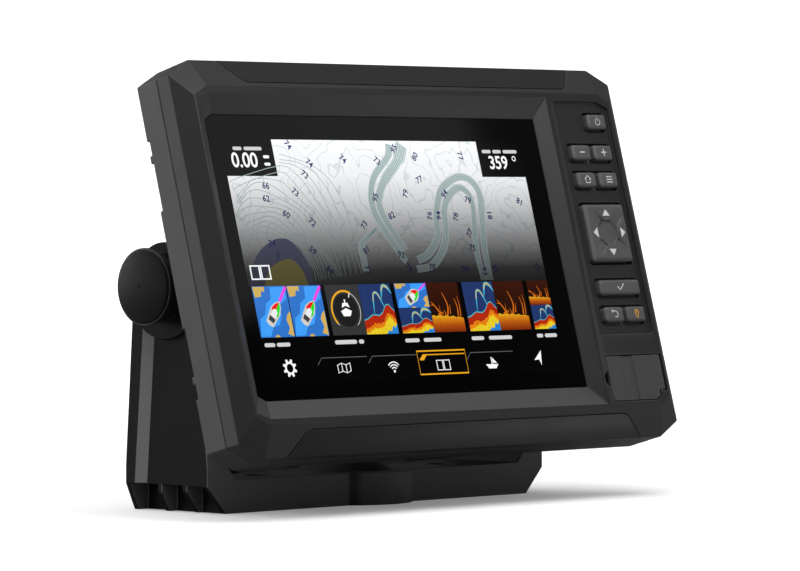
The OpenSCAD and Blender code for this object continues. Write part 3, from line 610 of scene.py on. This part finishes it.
def chart_thumb(tag, u0, v0, wide, high):
    """A sea chart seen from above: blue water in two depths, sandy land and a boat."""

    def spot(x, y):
        return u0 + x * wide, v0 + y * high

    def shape(points):
        return [spot(x, y) for x, y in points]

    Ink().box(u0, v0, u0 + wide, v0 + high, *GROUND).done(
        tag + "_deep", lit(tag + "_deep_blue", (0.028, 0.17, 0.58), 0.12, 500))
    Ink().patch(shape([
        (0.02, 0.02), (0.3, 0.02), (0.42, 0.2), (0.62, 0.24), (0.72, 0.42), (0.7, 0.62), (0.96, 0.75),
        (0.96, 0.98), (0.52, 0.98), (0.5, 0.75), (0.33, 0.66), (0.25, 0.45), (0.08, 0.36)]),
        0.065, 0.075).done(tag + "_shallow", lit(tag + "_pale_blue", (0.05, 0.34, 0.95), 0.1, 400))
    land = Ink()
    land.patch(shape([
        (0.01, 0.99), (0.36, 0.99), (0.34, 0.88), (0.26, 0.92), (0.22, 0.8), (0.04, 0.78)]),
        *LAND)
    land.patch(shape([
        (0.99, 0.5), (0.9, 0.44), (0.84, 0.34), (0.9, 0.18), (0.82, 0.06), (0.99, 0.01)]),
        *LAND)
    islet = shape([(0.42, 0.01), (0.5, 0.05), (0.58, 0.01), (0.5, 0.0)])
    land.patch(smooth(islet, True, 4), *LAND)
    land.done(tag + "_land", lit(tag + "_sand", (0.62, 0.42, 0.10), 0.12, 500))
    nose, tail = spot(0.74, 0.70), spot(0.33, 0.26)
    Ink().line([nose, spot(0.99, 0.98)], 0.075 * min(wide, high), LAND[1], HULL[0]).done(
        tag + "_course", lit(tag + "_magenta", (0.80, 0.06, 0.76)))
    boat(tag, nose, tail, 0.30 * wide)


def boat(tag, nose, tail, beam):
    """Boat seen from above: pale hull, red and green bow, grey deck with a white cabin."""
    axis = Vector((nose[0] - tail[0], nose[1] - tail[1]))
    length = axis.length
    axis.normalize()
    side = Vector((-axis.y, axis.x))

    def spot(x, y):
        p = Vector(tail) + axis * (x * length) + side * (y * beam)
        return p.x, p.y

    hull = [(0, -0.38), (0.6, -0.5), (0.84, -0.3), (1, 0), (0.84, 0.3), (0.6, 0.5), (0, 0.38),
            (-0.05, 0)]
    Ink().patch([spot(x, y) for x, y in hull], *HULL).done(
        tag + "_hull", lit(tag + "_hull_grey", (0.62, 0.60, 0.56)))
    parts = (
        ("port", "red", (0.80, 0.01, 0.012), DECK,
         [(0.95, 0), (0.8, 0.26), (0.58, 0.4), (0.5, 0.34), (0.66, 0)]),
        ("starboard", "green", (0.02, 0.72, 0.02), DECK,
         [(0.95, 0), (0.8, -0.26), (0.48, -0.42), (0.4, -0.32), (0.66, 0)]),
        ("well", "deck_grey", (0.05, 0.05, 0.052), DECK,
         [(0.12, -0.26), (0.3, -0.3), (0.3, 0.3), (0.12, 0.26)]),
        ("cabin", "cabin_white", (0.80, 0.82, 0.84), CABIN,
         [(0.32, -0.26), (0.58, -0.22), (0.64, 0), (0.58, 0.22), (0.32, 0.26)]),
    )
    for part, tint, colour, layer, outline in parts:
        Ink().patch([spot(x, y) for x, y in outline], *layer).done(
            f"{tag}_{part}", lit(f"{tag}_{tint}", colour))


def sonar_thumb(tag, u0, v0, wide, high):
    """A sonar trace: navy water, bright fish arches and a layered sea floor."""

    def spot(x, y):
        return u0 + x * wide, v0 + y * high

    Ink().box(u0, v0, u0 + wide, v0 + high, *GROUND).done(
        tag + "_water", lit(tag + "_navy", (0.016, 0.036, 0.135), 0.2, 600))
    crest = [(0, 0.27), (0.12, 0.30), (0.3, 0.38), (0.5, 0.36), (0.62, 0.42), (0.74, 0.56),
             (0.84, 0.58), (0.92, 0.5), (1, 0.44)]
    crest_steps = 40
    layers = [
        ("edge", 0.025, (0.05, 0.42, 0.5)), ("red", 0.0, (0.42, 0.02, 0.004)),
        ("orange", -0.16, (0.78, 0.20, 0.006)), ("yellow", -0.25, (0.82, 0.58, 0.02)),
    ]
    for k, (word, drop, colour) in enumerate(layers):
        top = []
        for i in range(crest_steps + 1):
            x = i / crest_steps
            j = min(len(crest) - 2, max(0, sum(1 for p in crest if p[0] <= x) - 1))
            (xa, ya), (xb, yb) = crest[j], crest[j + 1]
            y = ya + (yb - ya) * (x - xa) / (xb - xa)
            rough = 0.0 if k < 2 else 0.05 * (random.random() - 0.5)
            top.append(spot(x, max(0.02, y + drop + rough)))
        Ink().patch([spot(0, 0)] + top + [spot(1, 0)], 0.065 + 0.008 * k, 0.073 + 0.008 * k).done(
            f"{tag}_floor_{word}", lit(f"{tag}_{word}", colour, 0.35, 900))
    deep = [spot(0.62, 0), spot(0.72, 0.07), spot(0.8, 0.05), spot(0.86, 0.16), spot(0.93, 0.12),
            spot(1, 0.2), spot(1, 0)]
    Ink().patch(deep, 0.1, 0.107).done(
        tag + "_floor_blue", lit(tag + "_blue", (0.02, 0.22, 0.62), 0.3))
    arches = [((0.36, 0.40), (0.42, 0.78), (0.56, 0.80), (0.72, 0.50), 0.05),
              ((0.66, 0.70), (0.74, 0.94), (0.88, 0.94), (1.0, 0.80), 0.07)]
    outer, inner = Ink(), Ink()
    for a, b, c, d, thick in arches:
        path = smooth([spot(*a), spot(*b), spot(*c), spot(*d)], steps=8)
        n = len(path)
        swell = [thick * wide * (0.15 + math.sin(math.pi * i / (n - 1))) for i in range(n)]
        outer.line(path, swell, 0.066, 0.078)
        inner.line(path[n // 5: -n // 5], [s * 0.45 for s in swell[n // 5: -n // 5]], 0.078, 0.088)
    outer.done(tag + "_fish", lit(tag + "_fish_blue", (0.06, 0.42, 0.62), 0.15))
    inner.done(tag + "_fish_core", lit(tag + "_fish_orange", (0.66, 0.42, 0.04), 0.3))


def scan_thumb(tag, u0, v0, wide, high):
    """A scanning sonar picture: dark amber water, standing weed and a bright floor."""

    def spot(x, y):
        return u0 + x * wide, v0 + y * high

    s = Shader(tag + "_water")
    down = s.along(UP, v0, v0 + high)
    tone = s.ramp(down, [(0.3, (0.006, 0.002, 0.001)), (1.0, (0.050, 0.008, 0.002))])
    tone = s.mix(s.spread(s.noise(700, 3), 0.0, 0.5), tone, (0.02, 0.005, 0.002))
    s.set(base_color=(0.002, 0.001, 0.001), emission_color=tone, emission_strength=1.0, roughness=0.1)
    Ink().box(u0, v0, u0 + wide, v0 + high, *GROUND).done(tag + "_back", s.material)
    s = Shader(tag + "_bed")
    tone = s.ramp(s.along(UP, v0, v0 + 0.34 * high),
                  [(0.0, (0.16, 0.012, 0.002)), (0.45, (0.50, 0.10, 0.004)), (0.8, (0.80, 0.30, 0.008)),
                   (1.0, (0.92, 0.62, 0.02))])
    tone = s.mix(s.spread(s.noise(650, 4, 0.7), 0.0, 0.5), tone, (0.25, 0.03, 0.002))
    s.set(base_color=(0.01, 0.004, 0.001), emission_color=tone, emission_strength=1.0, roughness=0.1)
    bed = [spot(0, 0), spot(0, 0.33)] + [
        spot(i / 16, 0.335 + 0.012 * math.sin(i * 1.9) - 0.05 * (i / 16) ** 2) for i in range(17)
    ] + [spot(1, 0)]
    Ink().patch(bed, 0.065, 0.08).done(tag + "_floor", s.material)
    weed = Ink()
    stems = [
        ([(0.32, 0.33), (0.18, 0.5), (0.05, 0.62)], 0.05), ([(0.14, 0.55), (0.02, 0.55)], 0.03),
        ([(0.5, 0.33), (0.56, 0.5), (0.52, 0.66), (0.44, 0.8)], 0.05),
        ([(0.46, 0.33), (0.42, 0.45)], 0.03),
        ([(0.6, 0.36), (0.64, 0.55)], 0.03), ([(0.84, 0.32), (0.86, 0.5), (0.8, 0.68)], 0.04),
        ([(0.92, 0.32), (0.94, 0.55), (0.9, 0.72)], 0.03), ([(0.28, 0.36), (0.3, 0.55)], 0.02),
        ([(0.2, 0.34), (0.34, 0.4), (0.38, 0.34)], 0.04),
    ]
    for points, thick in stems:
        path = smooth([spot(x, y) for x, y in points], steps=5)
        n = len(path)
        weed.line(path, [thick * wide * (1 - 0.75 * i / (n - 1)) for i in range(n)], 0.08, 0.095)
    weed.done(tag + "_weed", lit(tag + "_weed_orange", (0.62, 0.14, 0.008), 0.4, 900))


def gauge_thumb(u0, v0, wide, high):
    """A round dial with an amber arc, and a boat seen from ahead in the middle."""
    u, v = u0 + wide * 0.52, v0 + high * 0.49
    Ink().box(u0, v0, u0 + wide, v0 + high, *GROUND).done(
        "dial_back", lit("dial_charcoal", (0.033, 0.034, 0.035), 0.08))
    r = wide * 0.42
    Ink().disc(u, v, r * 0.86, 0.065, 0.07).done("dial_hub", lit("dial_dark", (0.012, 0.012, 0.013)))
    Ink().line(ring(u, v, r, -50, 230, steps=60), 0.25, 0.07, 0.08).done("dial_rim", SOFT)
    Ink().line(ring(u, v, r, 62, 222, steps=40), 0.75, 0.08, 0.09).done("dial_arc", AMBER)
    mark = Ink()
    mark.line([(u + r * 0.45, v + r * 0.92), (u + r * 0.33, v + r * 0.66)], 0.4, 0.08, 0.09)
    b = wide * 0.16
    bow = [(-1, -0.1), (0, 0.3), (1, -0.1), (0.62, -0.8), (-0.62, -0.8)]
    house = [(-0.72, 0.35), (-0.5, 1.0), (0.5, 1.0), (0.72, 0.35), (0, 0.62)]
    for outline in (bow, house):
        mark.patch([(u + x * b, v + y * b) for x, y in outline], 0.08, 0.09)
    mark.box(u - 0.12 * b, v + 1.0 * b, u + 0.12 * b, v + 1.5 * b, 0.08, 0.09)
    mark.done("dial_boat", WHITE)


def make_thumbs():
    low, high = THUMB_BOTTOM, THUMB_TOP - THUMB_BOTTOM
    half = high / 2
    chart_thumb("thumb1_left", -75.7, low, 16.5, high)
    chart_thumb("thumb1_right", -58.8, low, 16.6, high)
    gauge_thumb(-40.1, low, 16.9, high)
    sonar_thumb("thumb2_sonar", -23.1, low, 16.2, high)
    chart_thumb("thumb3_chart", -4.7, low + half + 0.1, 16.4, half - 0.1)
    sonar_thumb("thumb3_sonar", -4.7, low, 16.4, half - 0.1)
    scan_thumb("thumb3_scan", 11.9, low, 16.4, high)
    sonar_thumb("thumb4_sonar", 30.6, low, 16.3, high)
    scan_thumb("thumb4_scan", 47.0, low, 16.3, high)
    scan_thumb("thumb5_scan", 65.5, low + half, 11.5, half)
    sonar_thumb("thumb5_sonar", 65.5, low, 11.5, half - 0.1)


def make_menu():
    """Speed and heading figures, captions, the gear, the tabs and the pointer."""
    Ink().digits("0.00", -67.2, 36.1, 7.6, 0, *PRINT, 0.98, 0.12).done("speed_figures", WHITE)
    Ink().digits("359", 63.6, 35.7, 7.0, 0, *PRINT, 0.98, 0.12).done("heading_figures", WHITE)
    Ink().line(ring(72.5, 37.5, 0.85, steps=20), 0.4, *PRINT, True).done("degree_ring", WHITE)
    text_bars("speed_caption", [(-72, 40.6, 4.4, 1.3), (-66.6, 40.6, 8.8, 1.3)], SOFT)
    text_bars("heading_caption",
              [(55.8, 40.2, 4.8, 1.3), (61.6, 40.2, 4.6, 1.3), (67.2, 40.2, 7.6, 1.3)], SOFT)
    text_bars("speed_unit", [(-57.8, 37.6, 3, 1.1), (-57.8, 34.9, 3, 1.1)], WHITE)
    head = Ink()
    for u in (-74.6, -69.6):
        head.line([(u, -7), (u + 4.2, -7), (u + 4.2, -2.2), (u, -2.2)], 0.8, 0.08, 0.1, True)
    head.done("heading_icon", WHITE)
    text_bars("heading_title", [(-63.4, -3.7, 9.6, 1.7), (-63.4, -6.2, 6.0, 1.2)], WHITE)
    text_bars("thumb_captions", [
        (-74.8, -30.8, 5.2, 1.4), (-68.8, -30.8, 6.6, 1.4), (-40, -30.6, 11, 1.5),
        (-28, -30.6, 2.6, 1.5), (-4.4, -30.8, 7.4, 1.4), (5.2, -30.8, 9.2, 1.4),
        (30.4, -30.8, 6.6, 1.4), (39.6, -30.8, 12.4, 1.4), (65.6, -30.6, 3.4, 1.4),
        (70, -30.6, 6.6, 1.4)], SOFT)
    gear = Ink()
    gear.line(ring(*GEAR, 1.95, steps=30), 0.75, *PRINT, True)
    for k in range(8):
        t = math.radians(45 * k + 22.5)
        root, tip = [(GEAR[0] + r * math.cos(t), GEAR[1] + r * math.sin(t)) for r in (2.2, 3.3)]
        gear.line([root, tip], [1.25, 0.8], *PRINT)
    gear.done("gear_icon", WHITE)
    tabs = Ink()
    for start, end in ((-50.6, -25.6), (-25.2, -0.4), (25.8, 50.8)):
        tabs.line([(start, -38.6), (start + 2.4, -36.1), (end, -36.1)], 0.28, 0.05, 0.06)
    tabs.done("tab_lines", DIM)
    frame_ink = Ink()
    frame_ink.line([(0.2, -43.5), (25.3, -43.5), (25.3, -34.9), (0.2, -34.9)], 0.55, *OVER, True)
    frame_ink.line([(1.2, -38.2), (3.1, -36.3), (24.8, -36.3)], 0.4, *OVER)
    frame_ink.patch([(1.3, -38.3), (3.2, -36.5), (4.9, -36.5), (3.2, -38.3)], *OVER)
    frame_ink.done("tab_chosen", AMBER)
    Ink().patch([(66, -36.2), (61.6, -39.8), (64.3, -39.6), (65.1, -41.8)], *PRINT).done(
        "pointer", WHITE)
    icons = Ink()
    # Chart tab: a folded sheet
    for k in range(3):
        u = -41 + 2.1 * k
        lift = 0.7 if k % 2 else 0.0
        fold = [(u, -41.8 + lift), (u, -38.9 + lift), (u + 2.1, -38.2 - lift), (u + 2.1, -41.1 - lift)]
        icons.line(fold, 0.4, *OVER, True)
    # Sonar tab: a point with three arcs
    icons.disc(-12.8, -41.9, 0.5, *OVER)
    for r in (1.4, 2.4, 3.4):
        icons.line(ring(-12.8, -41.9, r, 40, 140, steps=14), 0.42, *OVER)
    # Chosen tab: two panes
    for u in (9.6, 13.2):
        icons.line([(u, -42.1), (u + 3, -42.1), (u + 3, -38.5), (u, -38.5)], 0.45, *OVER, True)
    # Vessel tab: a hull with a mast
    icons.patch([(35.2, -40.7), (41.8, -40.7), (40.4, -42.3), (36.6, -42.3)], *OVER)
    icons.line([(38.5, -40.7), (38.5, -38)], 0.4, *OVER)
    icons.patch([(38.9, -40.3), (41.2, -40.3), (38.9, -38.1)], *OVER)
    icons.done("tab_icons", WHITE)


# -------------------------------- legends on the keys

KEY_INK = legend("legend_white", (0.62, 0.63, 0.64), 0.12)
KEY_AMBER = legend("legend_amber", (0.72, 0.33, 0.02), 0.14)


def on_key(node):
    """Maps mm on a key's top face, from its middle, to a point in the frame."""
    across, upward, outward = spans(node)
    middle = RIGHT * (sum(across) / 2) + UP * (sum(upward) / 2) + OUT * outward[1]
    return lambda u, v, w=0.0: middle + (RIGHT * u + UP * v + OUT * w) * MM


def key_legend(node, body, draw, material=KEY_INK):
    ink = Ink(on_key(node))
    draw(ink)
    ink.done(node + "_legend", material, body, "key_plastic")


def make_legends():
    low, top = -0.01, 0.03

    def power(ink):
        ink.line(ring(0, -0.15, 1.3, -235, 55, steps=24), 0.26, low, top)
        ink.box(-0.13, 0.1, 0.13, 1.6, low, top)

    def minus(ink):
        ink.box(-1.3, -0.22, 1.3, 0.22, low, top)

    def plus(ink):
        arm, side = 1.4, 0.22
        quarter = [(-side, -side), (-side, -arm), (side, -arm)]
        outline = []
        for _ in range(4):
            outline += quarter
            quarter = [(-y, x) for x, y in quarter]
        ink.patch(outline, low, top)

    def house(ink):
        ink.line([(-1.7, 0.05), (0, 1.45), (1.7, 0.05)], 0.36, low, top)
        ink.line([(-1.15, 0.3), (-1.15, -1.3), (1.15, -1.3), (1.15, 0.3)], 0.34, low, top)

    def bars(ink):
        for v in (-1.05, 0, 1.05):
            ink.box(-1.6, v - 0.19, 1.6, v + 0.19, low, top)

    def tick(ink):
        ink.line([(-1.7, 0.1), (-0.5, -1.15), (1.9, 1.25)], 0.42, low, top)

    def back(ink):
        ink.line(ring(0.2, 0, 1.15, -120, 90, steps=18) + [(-1.4, 1.15)], 0.34, low, top)
        ink.patch([(-1.1, 2.0), (-2.1, 1.15), (-1.1, 0.3)], low, top)

    def pin(ink):
        ink.line(ring(0, 0.45, 1.0, -30, 210, steps=20) + [(0, -1.7)], 0.36, low, top, True)
        ink.disc(0, 0.5, 0.33, low, top)

    def arrows(ink):
        for k in range(4):
            t = math.radians(90 * k)
            c, s = math.cos(t), math.sin(t)
            arrow = [(9.0, 0.0), (6.5, 2.0), (6.5, -2.0)]
            ink.patch([(x * c - y * s, x * s + y * c) for x, y in arrow], low, top)

    for node, draw in (("power_key", power), ("zoom_out_key", minus), ("zoom_in_key", plus),
                       ("home_key", house), ("menu_key", bars), ("select_key", tick),
                       ("back_key", back)):
        key_legend(node, node, draw)
    key_legend("mark_key", "mark_key", pin, KEY_AMBER)
    key_legend("dpad_key", "dpad", arrows)


# -------------------------------- finish of the CAD nodes

EDGE = 0.35          # round on a sharp edge in mm, where EDGES names no other
EDGES = {"front_bezel": 0.3, "rear_housing": 0.5, "bail_bracket": 0.3, "top_trim": 0.15,
         "bottom_trim": 0.15}
FLAT_WITHIN = 1      # degrees: faces this near to one plane are joined before rounding
SHARP_FROM = 28      # degrees: edges that turn more than this are rounded

# Painted light, faces painted paler as if lit: the bevels down the back of the bail's arms and its
# front wall, and the bezel's slope under the glass
BAIL_PAINTED_LIGHT = (((0.951, -0.309, 0.0), 0.02, 200, grey(0.2)),
              ((0.0, -1.0, 0.0), 0.3, 200, grey(0.15)))
BEZEL_PAINTED_LIGHT = ((tuple(OUT * 0.894 + UP * 0.448), 0.02, -30, grey(0.055)),)
# The band of the card door beside its recess is darker
DOOR_BANDS = ((85.0, 91.6, grey(0.012)),)


def soften(node, width):
    """Real moulded edges: a small round on every sharp edge of a CAD node."""
    obj = nodes[node]
    weld = obj.modifiers.new("weld", "WELD")
    weld.merge_threshold = 0.00001
    flat = obj.modifiers.new("flat", "DECIMATE")
    flat.decimate_type = "DISSOLVE"
    flat.angle_limit = math.radians(FLAT_WITHIN)
    bevel = obj.modifiers.new("round", "BEVEL")
    bevel.width = width * MM
    bevel.segments = 2
    bevel.limit_method = "ANGLE"
    bevel.angle_limit = math.radians(SHARP_FROM)
    bevel.use_clamp_overlap = False


def dress_all():
    # The bezel and the bail carry painted light: some of their faces are painted paler as if lit
    bezel = moulded("bezel_charcoal", grey(0.017), 0.42, shine=0.36, painted_light_zones=BEZEL_PAINTED_LIGHT)
    housing = moulded("housing_charcoal", grey(0.028), 0.46)
    bail = moulded("bail_charcoal", grey(0.008), 0.50, shine=0.06, painted_light_zones=BAIL_PAINTED_LIGHT)
    trim = moulded("trim_charcoal", grey(0.007), 0.40, shine=0.34)
    door = moulded("door_charcoal", grey(0.046), 0.46, bands=DOOR_BANDS)
    keys = moulded("key_charcoal", grey(0.08), 0.42, 0.22, 0.015)
    knob = moulded("knob_charcoal", grey(0.016), 0.42, 0.25, 0.02, shine=0.3)
    cap = moulded("knob_cap_charcoal", grey(0.007), 0.42, 0.25, 0.02, shine=0.08)
    socket = moulded("socket_black", grey(0.014), 0.45, 0.25, 0.02)
    nylon = moulded("nylon_natural", (0.55, 0.52, 0.44), 0.5, 0.3, 0.01)
    seal = rubber("seal_black", grey(0.012))
    steel = metal("steel_satin", (0.52, 0.52, 0.53), 0.32)
    sheet = metal("aluminium_sheet", (0.66, 0.67, 0.68), 0.38)
    brass = metal("brass_turned", (0.62, 0.44, 0.16), 0.28, False)
    film = moulded("flex_amber", (0.42, 0.2, 0.04), 0.35, 0.6, 0.01)
    ceramic = moulded("ceramic_cream", (0.6, 0.54, 0.38), 0.4, 0.2, 0.01)
    by_material = {
        bezel: ["front_bezel"], housing: ["rear_housing"], bail: ["bail_bracket"],
        trim: ["top_trim", "bottom_trim"], door: ["card_door"],
        keys: [node for node in nodes if node.endswith("_key")],
        knob: ["knob_body_left", "knob_body_right"], cap: ["knob_cap_left", "knob_cap_right"],
        socket: ["power_socket", "transducer_socket", "network_socket", "vent_plug", "beeper"],
        nylon: ["knob_washer_left", "knob_washer_right"],
        seal: ["glass_gasket", "housing_gasket", "card_door_seal", "keypad_mat", "friction_washers"],
        steel: ["chassis_screws", "housing_screws", "door_hinge_pin", "knob_stud_left",
                "knob_stud_right", "dpad_post", "dpad_gimbal", "card_reader"],
        sheet: ["backlight_unit", "chassis_plate", "processor_shield"],
        brass: ["pivot_inserts"],
        circuit("solder_mask"): ["main_board", "keypad_board", "wireless_antenna"],
        film: ["display_flex", "keypad_flex"], ceramic: ["satellite_antenna"],
        glossy_black("cover_glass"): ["display_glass"],
        glossy_black("display_cell", (0.02, 0.03, 0.045), 0.2): ["lcd_panel"],
    }
    for material, members in by_material.items():
        for node in members:
            nodes[node].data.materials.clear()
            nodes[node].data.materials.append(material)


# -------------------------------- stage, light and camera

# The camera: place in metres, and degrees to the right of the object's back and above level
VIEW_PLACE = (-1.221, -1.224, 0.116)
VIEW_YAW = 45.74
VIEW_PITCH = -1.19
LENS = 208.9
VIEW_DIR = Vector((math.sin(math.radians(VIEW_YAW)), math.cos(math.radians(VIEW_YAW)), 0))

FLOOR_BOUNCE = (0.3, 0.3, 0.3)  # the floor's colour for light that it throws back
FLOOR_GLOW = 0.2                # what it adds for the camera, beside the object
BACKDROP_GLOW = 0.6             # and far behind it
GLOW_FROM, GLOW_TO = 250, 900   # mm behind the object between which that grows
SIDE_GLOW = 0.75                # the world's light from the sides
BACK_GLOW = 2.2                 # and from behind
FRONT_GLOW = 0.012              # and from the dim room in front
SUN = 1.9
SUN_WAY = (0.22, 0.05, -1.0)
SUN_SPREAD = 75                 # degrees

# White cards mirrored in the glass: way, distance, side, power, and how far each reaches in
# from the picture's corner, right and down
CARD_WAY = Vector((0.716, -0.61, 0.34)).normalized()
CARD_AWAY = 0.65
CARD_SIZE = 0.4
CARD_WATTS = 0.15
CARD_REACH = ((0.03, -0.015), (0.065, -0.035), (0.10, -0.055))

# Other lamps: name, place, what they point at, size and power
LAMPS = (
    ("left_box", (-0.9, 0.55, 0.02), (-0.11, 0, 0.03), (0.5, 0.5), 1.8),
    ("floor_card", (0.36, -0.34, 0.035), (0.04, -0.03, 0.015), (0.2, 0.05), 0.09),
    ("low_front", (0.9, -1.1, 0.08), (0.05, -0.03, 0.02), (0.7, 0.14), 0.3),
    ("top_front", (-0.04, -0.28, 0.36), (0.0, -0.04, 0.14), (0.24, 0.24), 0.66),
    ("back_box", (-0.45, 1.0, 0.2), (-0.1, 0.0, 0.06), (0.7, 0.7), 1.1),
)


def hang(name, light, place, way):
    """Puts a light at a place, shining along a way."""
    lamp = bpy.data.objects.new(name, light)
    lamp.location = place
    lamp.rotation_mode = "QUATERNION"
    lamp.rotation_quaternion = Vector(way).to_track_quat("-Z", "Y")
    lamp.visible_camera = False
    scene.collection.objects.link(lamp)


def area(name, place, target, size, watts):
    light = bpy.data.lights.new(name, "AREA")
    light.shape = "RECTANGLE"
    light.size, light.size_y = size
    light.energy = watts
    hang(name, light, place, Vector(target) - Vector(place))


def make_stage():
    """A white sweep. It looks white, but throws little light back up under the object."""
    s = Shader("floor_white")
    tone = s.mix(s.noise(3, 3), (0.93, 0.93, 0.935), (0.96, 0.96, 0.965))
    seen = s.add("ShaderNodeLightPath").outputs["Is Camera Ray"]
    behind = s.along(VIEW_DIR, GLOW_FROM, GLOW_TO, (0, 0, 0))
    glow = s.math("MULTIPLY", seen, s.spread(behind, FLOOR_GLOW, BACKDROP_GLOW))
    s.set(base_color=s.mix(seen, FLOOR_BOUNCE, tone), roughness=s.spread(s.noise(40), 0.75, 0.9),
          emission_color=(1, 1, 1), emission_strength=glow,
          specular_ior_level=0.0)
    reach, half_width, height, bend, steps = 9.0, 10.0, 8.0, 2.0, 18
    turns = [math.radians(90 * i / steps) for i in range(steps + 1)]
    rise = [(reach - bend + bend * math.sin(t), bend - bend * math.cos(t)) for t in turns]
    side_way = Vector((-VIEW_DIR.y, VIEW_DIR.x, 0))
    verts, faces = [], []
    for along, up in [(-reach, 0.0)] + rise + [(reach, height)]:
        for side in (-half_width, half_width):
            verts.append(VIEW_DIR * along + side_way * side + Vector((0, 0, up)))
    for i in range(0, len(verts) - 2, 2):
        faces.append([i, i + 1, i + 3, i + 2])
    floor = built("floor", verts, faces, s.material)
    for polygon in floor.data.polygons:
        polygon.use_smooth = True


def make_world():
    """White behind the object, and a dim room in front of it."""
    world = bpy.data.worlds.new("studio")
    scene.world = world
    world.use_nodes = True
    tree = world.node_tree
    backdrop = tree.nodes["Background"]
    backdrop.inputs["Color"].default_value = (1, 1, 1, 1)
    split = tree.nodes.new("ShaderNodeSeparateXYZ")
    tree.links.new(tree.nodes.new("ShaderNodeTexCoord").outputs["Generated"], split.inputs[0])

    def fade(axis, start, end, low, high):
        node = tree.nodes.new("ShaderNodeMapRange")
        for key, value in (("From Min", start), ("From Max", end), ("To Min", low), ("To Max", high)):
            node.inputs[key].default_value = value
        tree.links.new(split.outputs[axis], node.inputs["Value"])
        return node.outputs["Result"]

    def join(kind, a, b):
        node = tree.nodes.new("ShaderNodeMath")
        node.operation = kind
        tree.links.new(a, node.inputs[0])
        tree.links.new(b, node.inputs[1])
        return node.outputs[0]

    sides = join("MULTIPLY", fade("Y", -0.6, -0.2, FRONT_GLOW, SIDE_GLOW),
                 fade("Z", 0.25, 0.8, 1.0, 0.4))
    glow = join("ADD", sides, fade("Y", 0.72, 0.95, 0.0, BACK_GLOW))
    seen = tree.nodes.new("ShaderNodeLightPath").outputs["Is Camera Ray"]
    tree.links.new(join("MAXIMUM", glow, seen), backdrop.inputs["Strength"])


def make_light():
    sun = bpy.data.lights.new("overhead_silk", "SUN")
    sun.energy = SUN
    sun.angle = math.radians(SUN_SPREAD)
    hang("overhead_silk", sun, (0, 0, 0), SUN_WAY)
    # Three overlapping white cards give the soft gleam in the glass's upper left
    corner = on_face(-PICTURE_W / 2, PICTURE_H / 2)
    across = CARD_WAY.cross(Vector((0, 0, -1))).normalized()
    upward = across.cross(CARD_WAY).normalized()
    if upward.z < 0:
        upward = -upward
    half = CARD_SIZE / 2
    for k, (right_edge, low_edge) in enumerate(CARD_REACH):
        place = (corner + CARD_WAY * CARD_AWAY + across * (right_edge - half)
                 + upward * (low_edge + half))
        area(f"glass_card_{k}", place, place - CARD_WAY, (CARD_SIZE, CARD_SIZE), CARD_WATTS)
    for lamp in LAMPS:
        area(*lamp)


def make_camera():
    data = bpy.data.cameras.new("camera")
    data.lens = LENS
    data.sensor_width = 36
    data.sensor_fit = "HORIZONTAL"
    data.clip_start, data.clip_end = 0.05, 60
    camera = bpy.data.objects.new("camera", data)
    camera.location = VIEW_PLACE
    camera.rotation_euler = (math.radians(90 + VIEW_PITCH), 0, -math.radians(VIEW_YAW))
    scene.collection.objects.link(camera)
    scene.camera = camera


scene.view_settings.view_transform = "Standard"
make_map()
make_thumbs()
make_menu()
make_legends()
dress_all()
for node in nodes:
    if node not in ("display_glass", "lcd_panel"):
        soften(node, EDGES.get(node, EDGE))
make_stage()
make_world()
make_light()
make_camera()
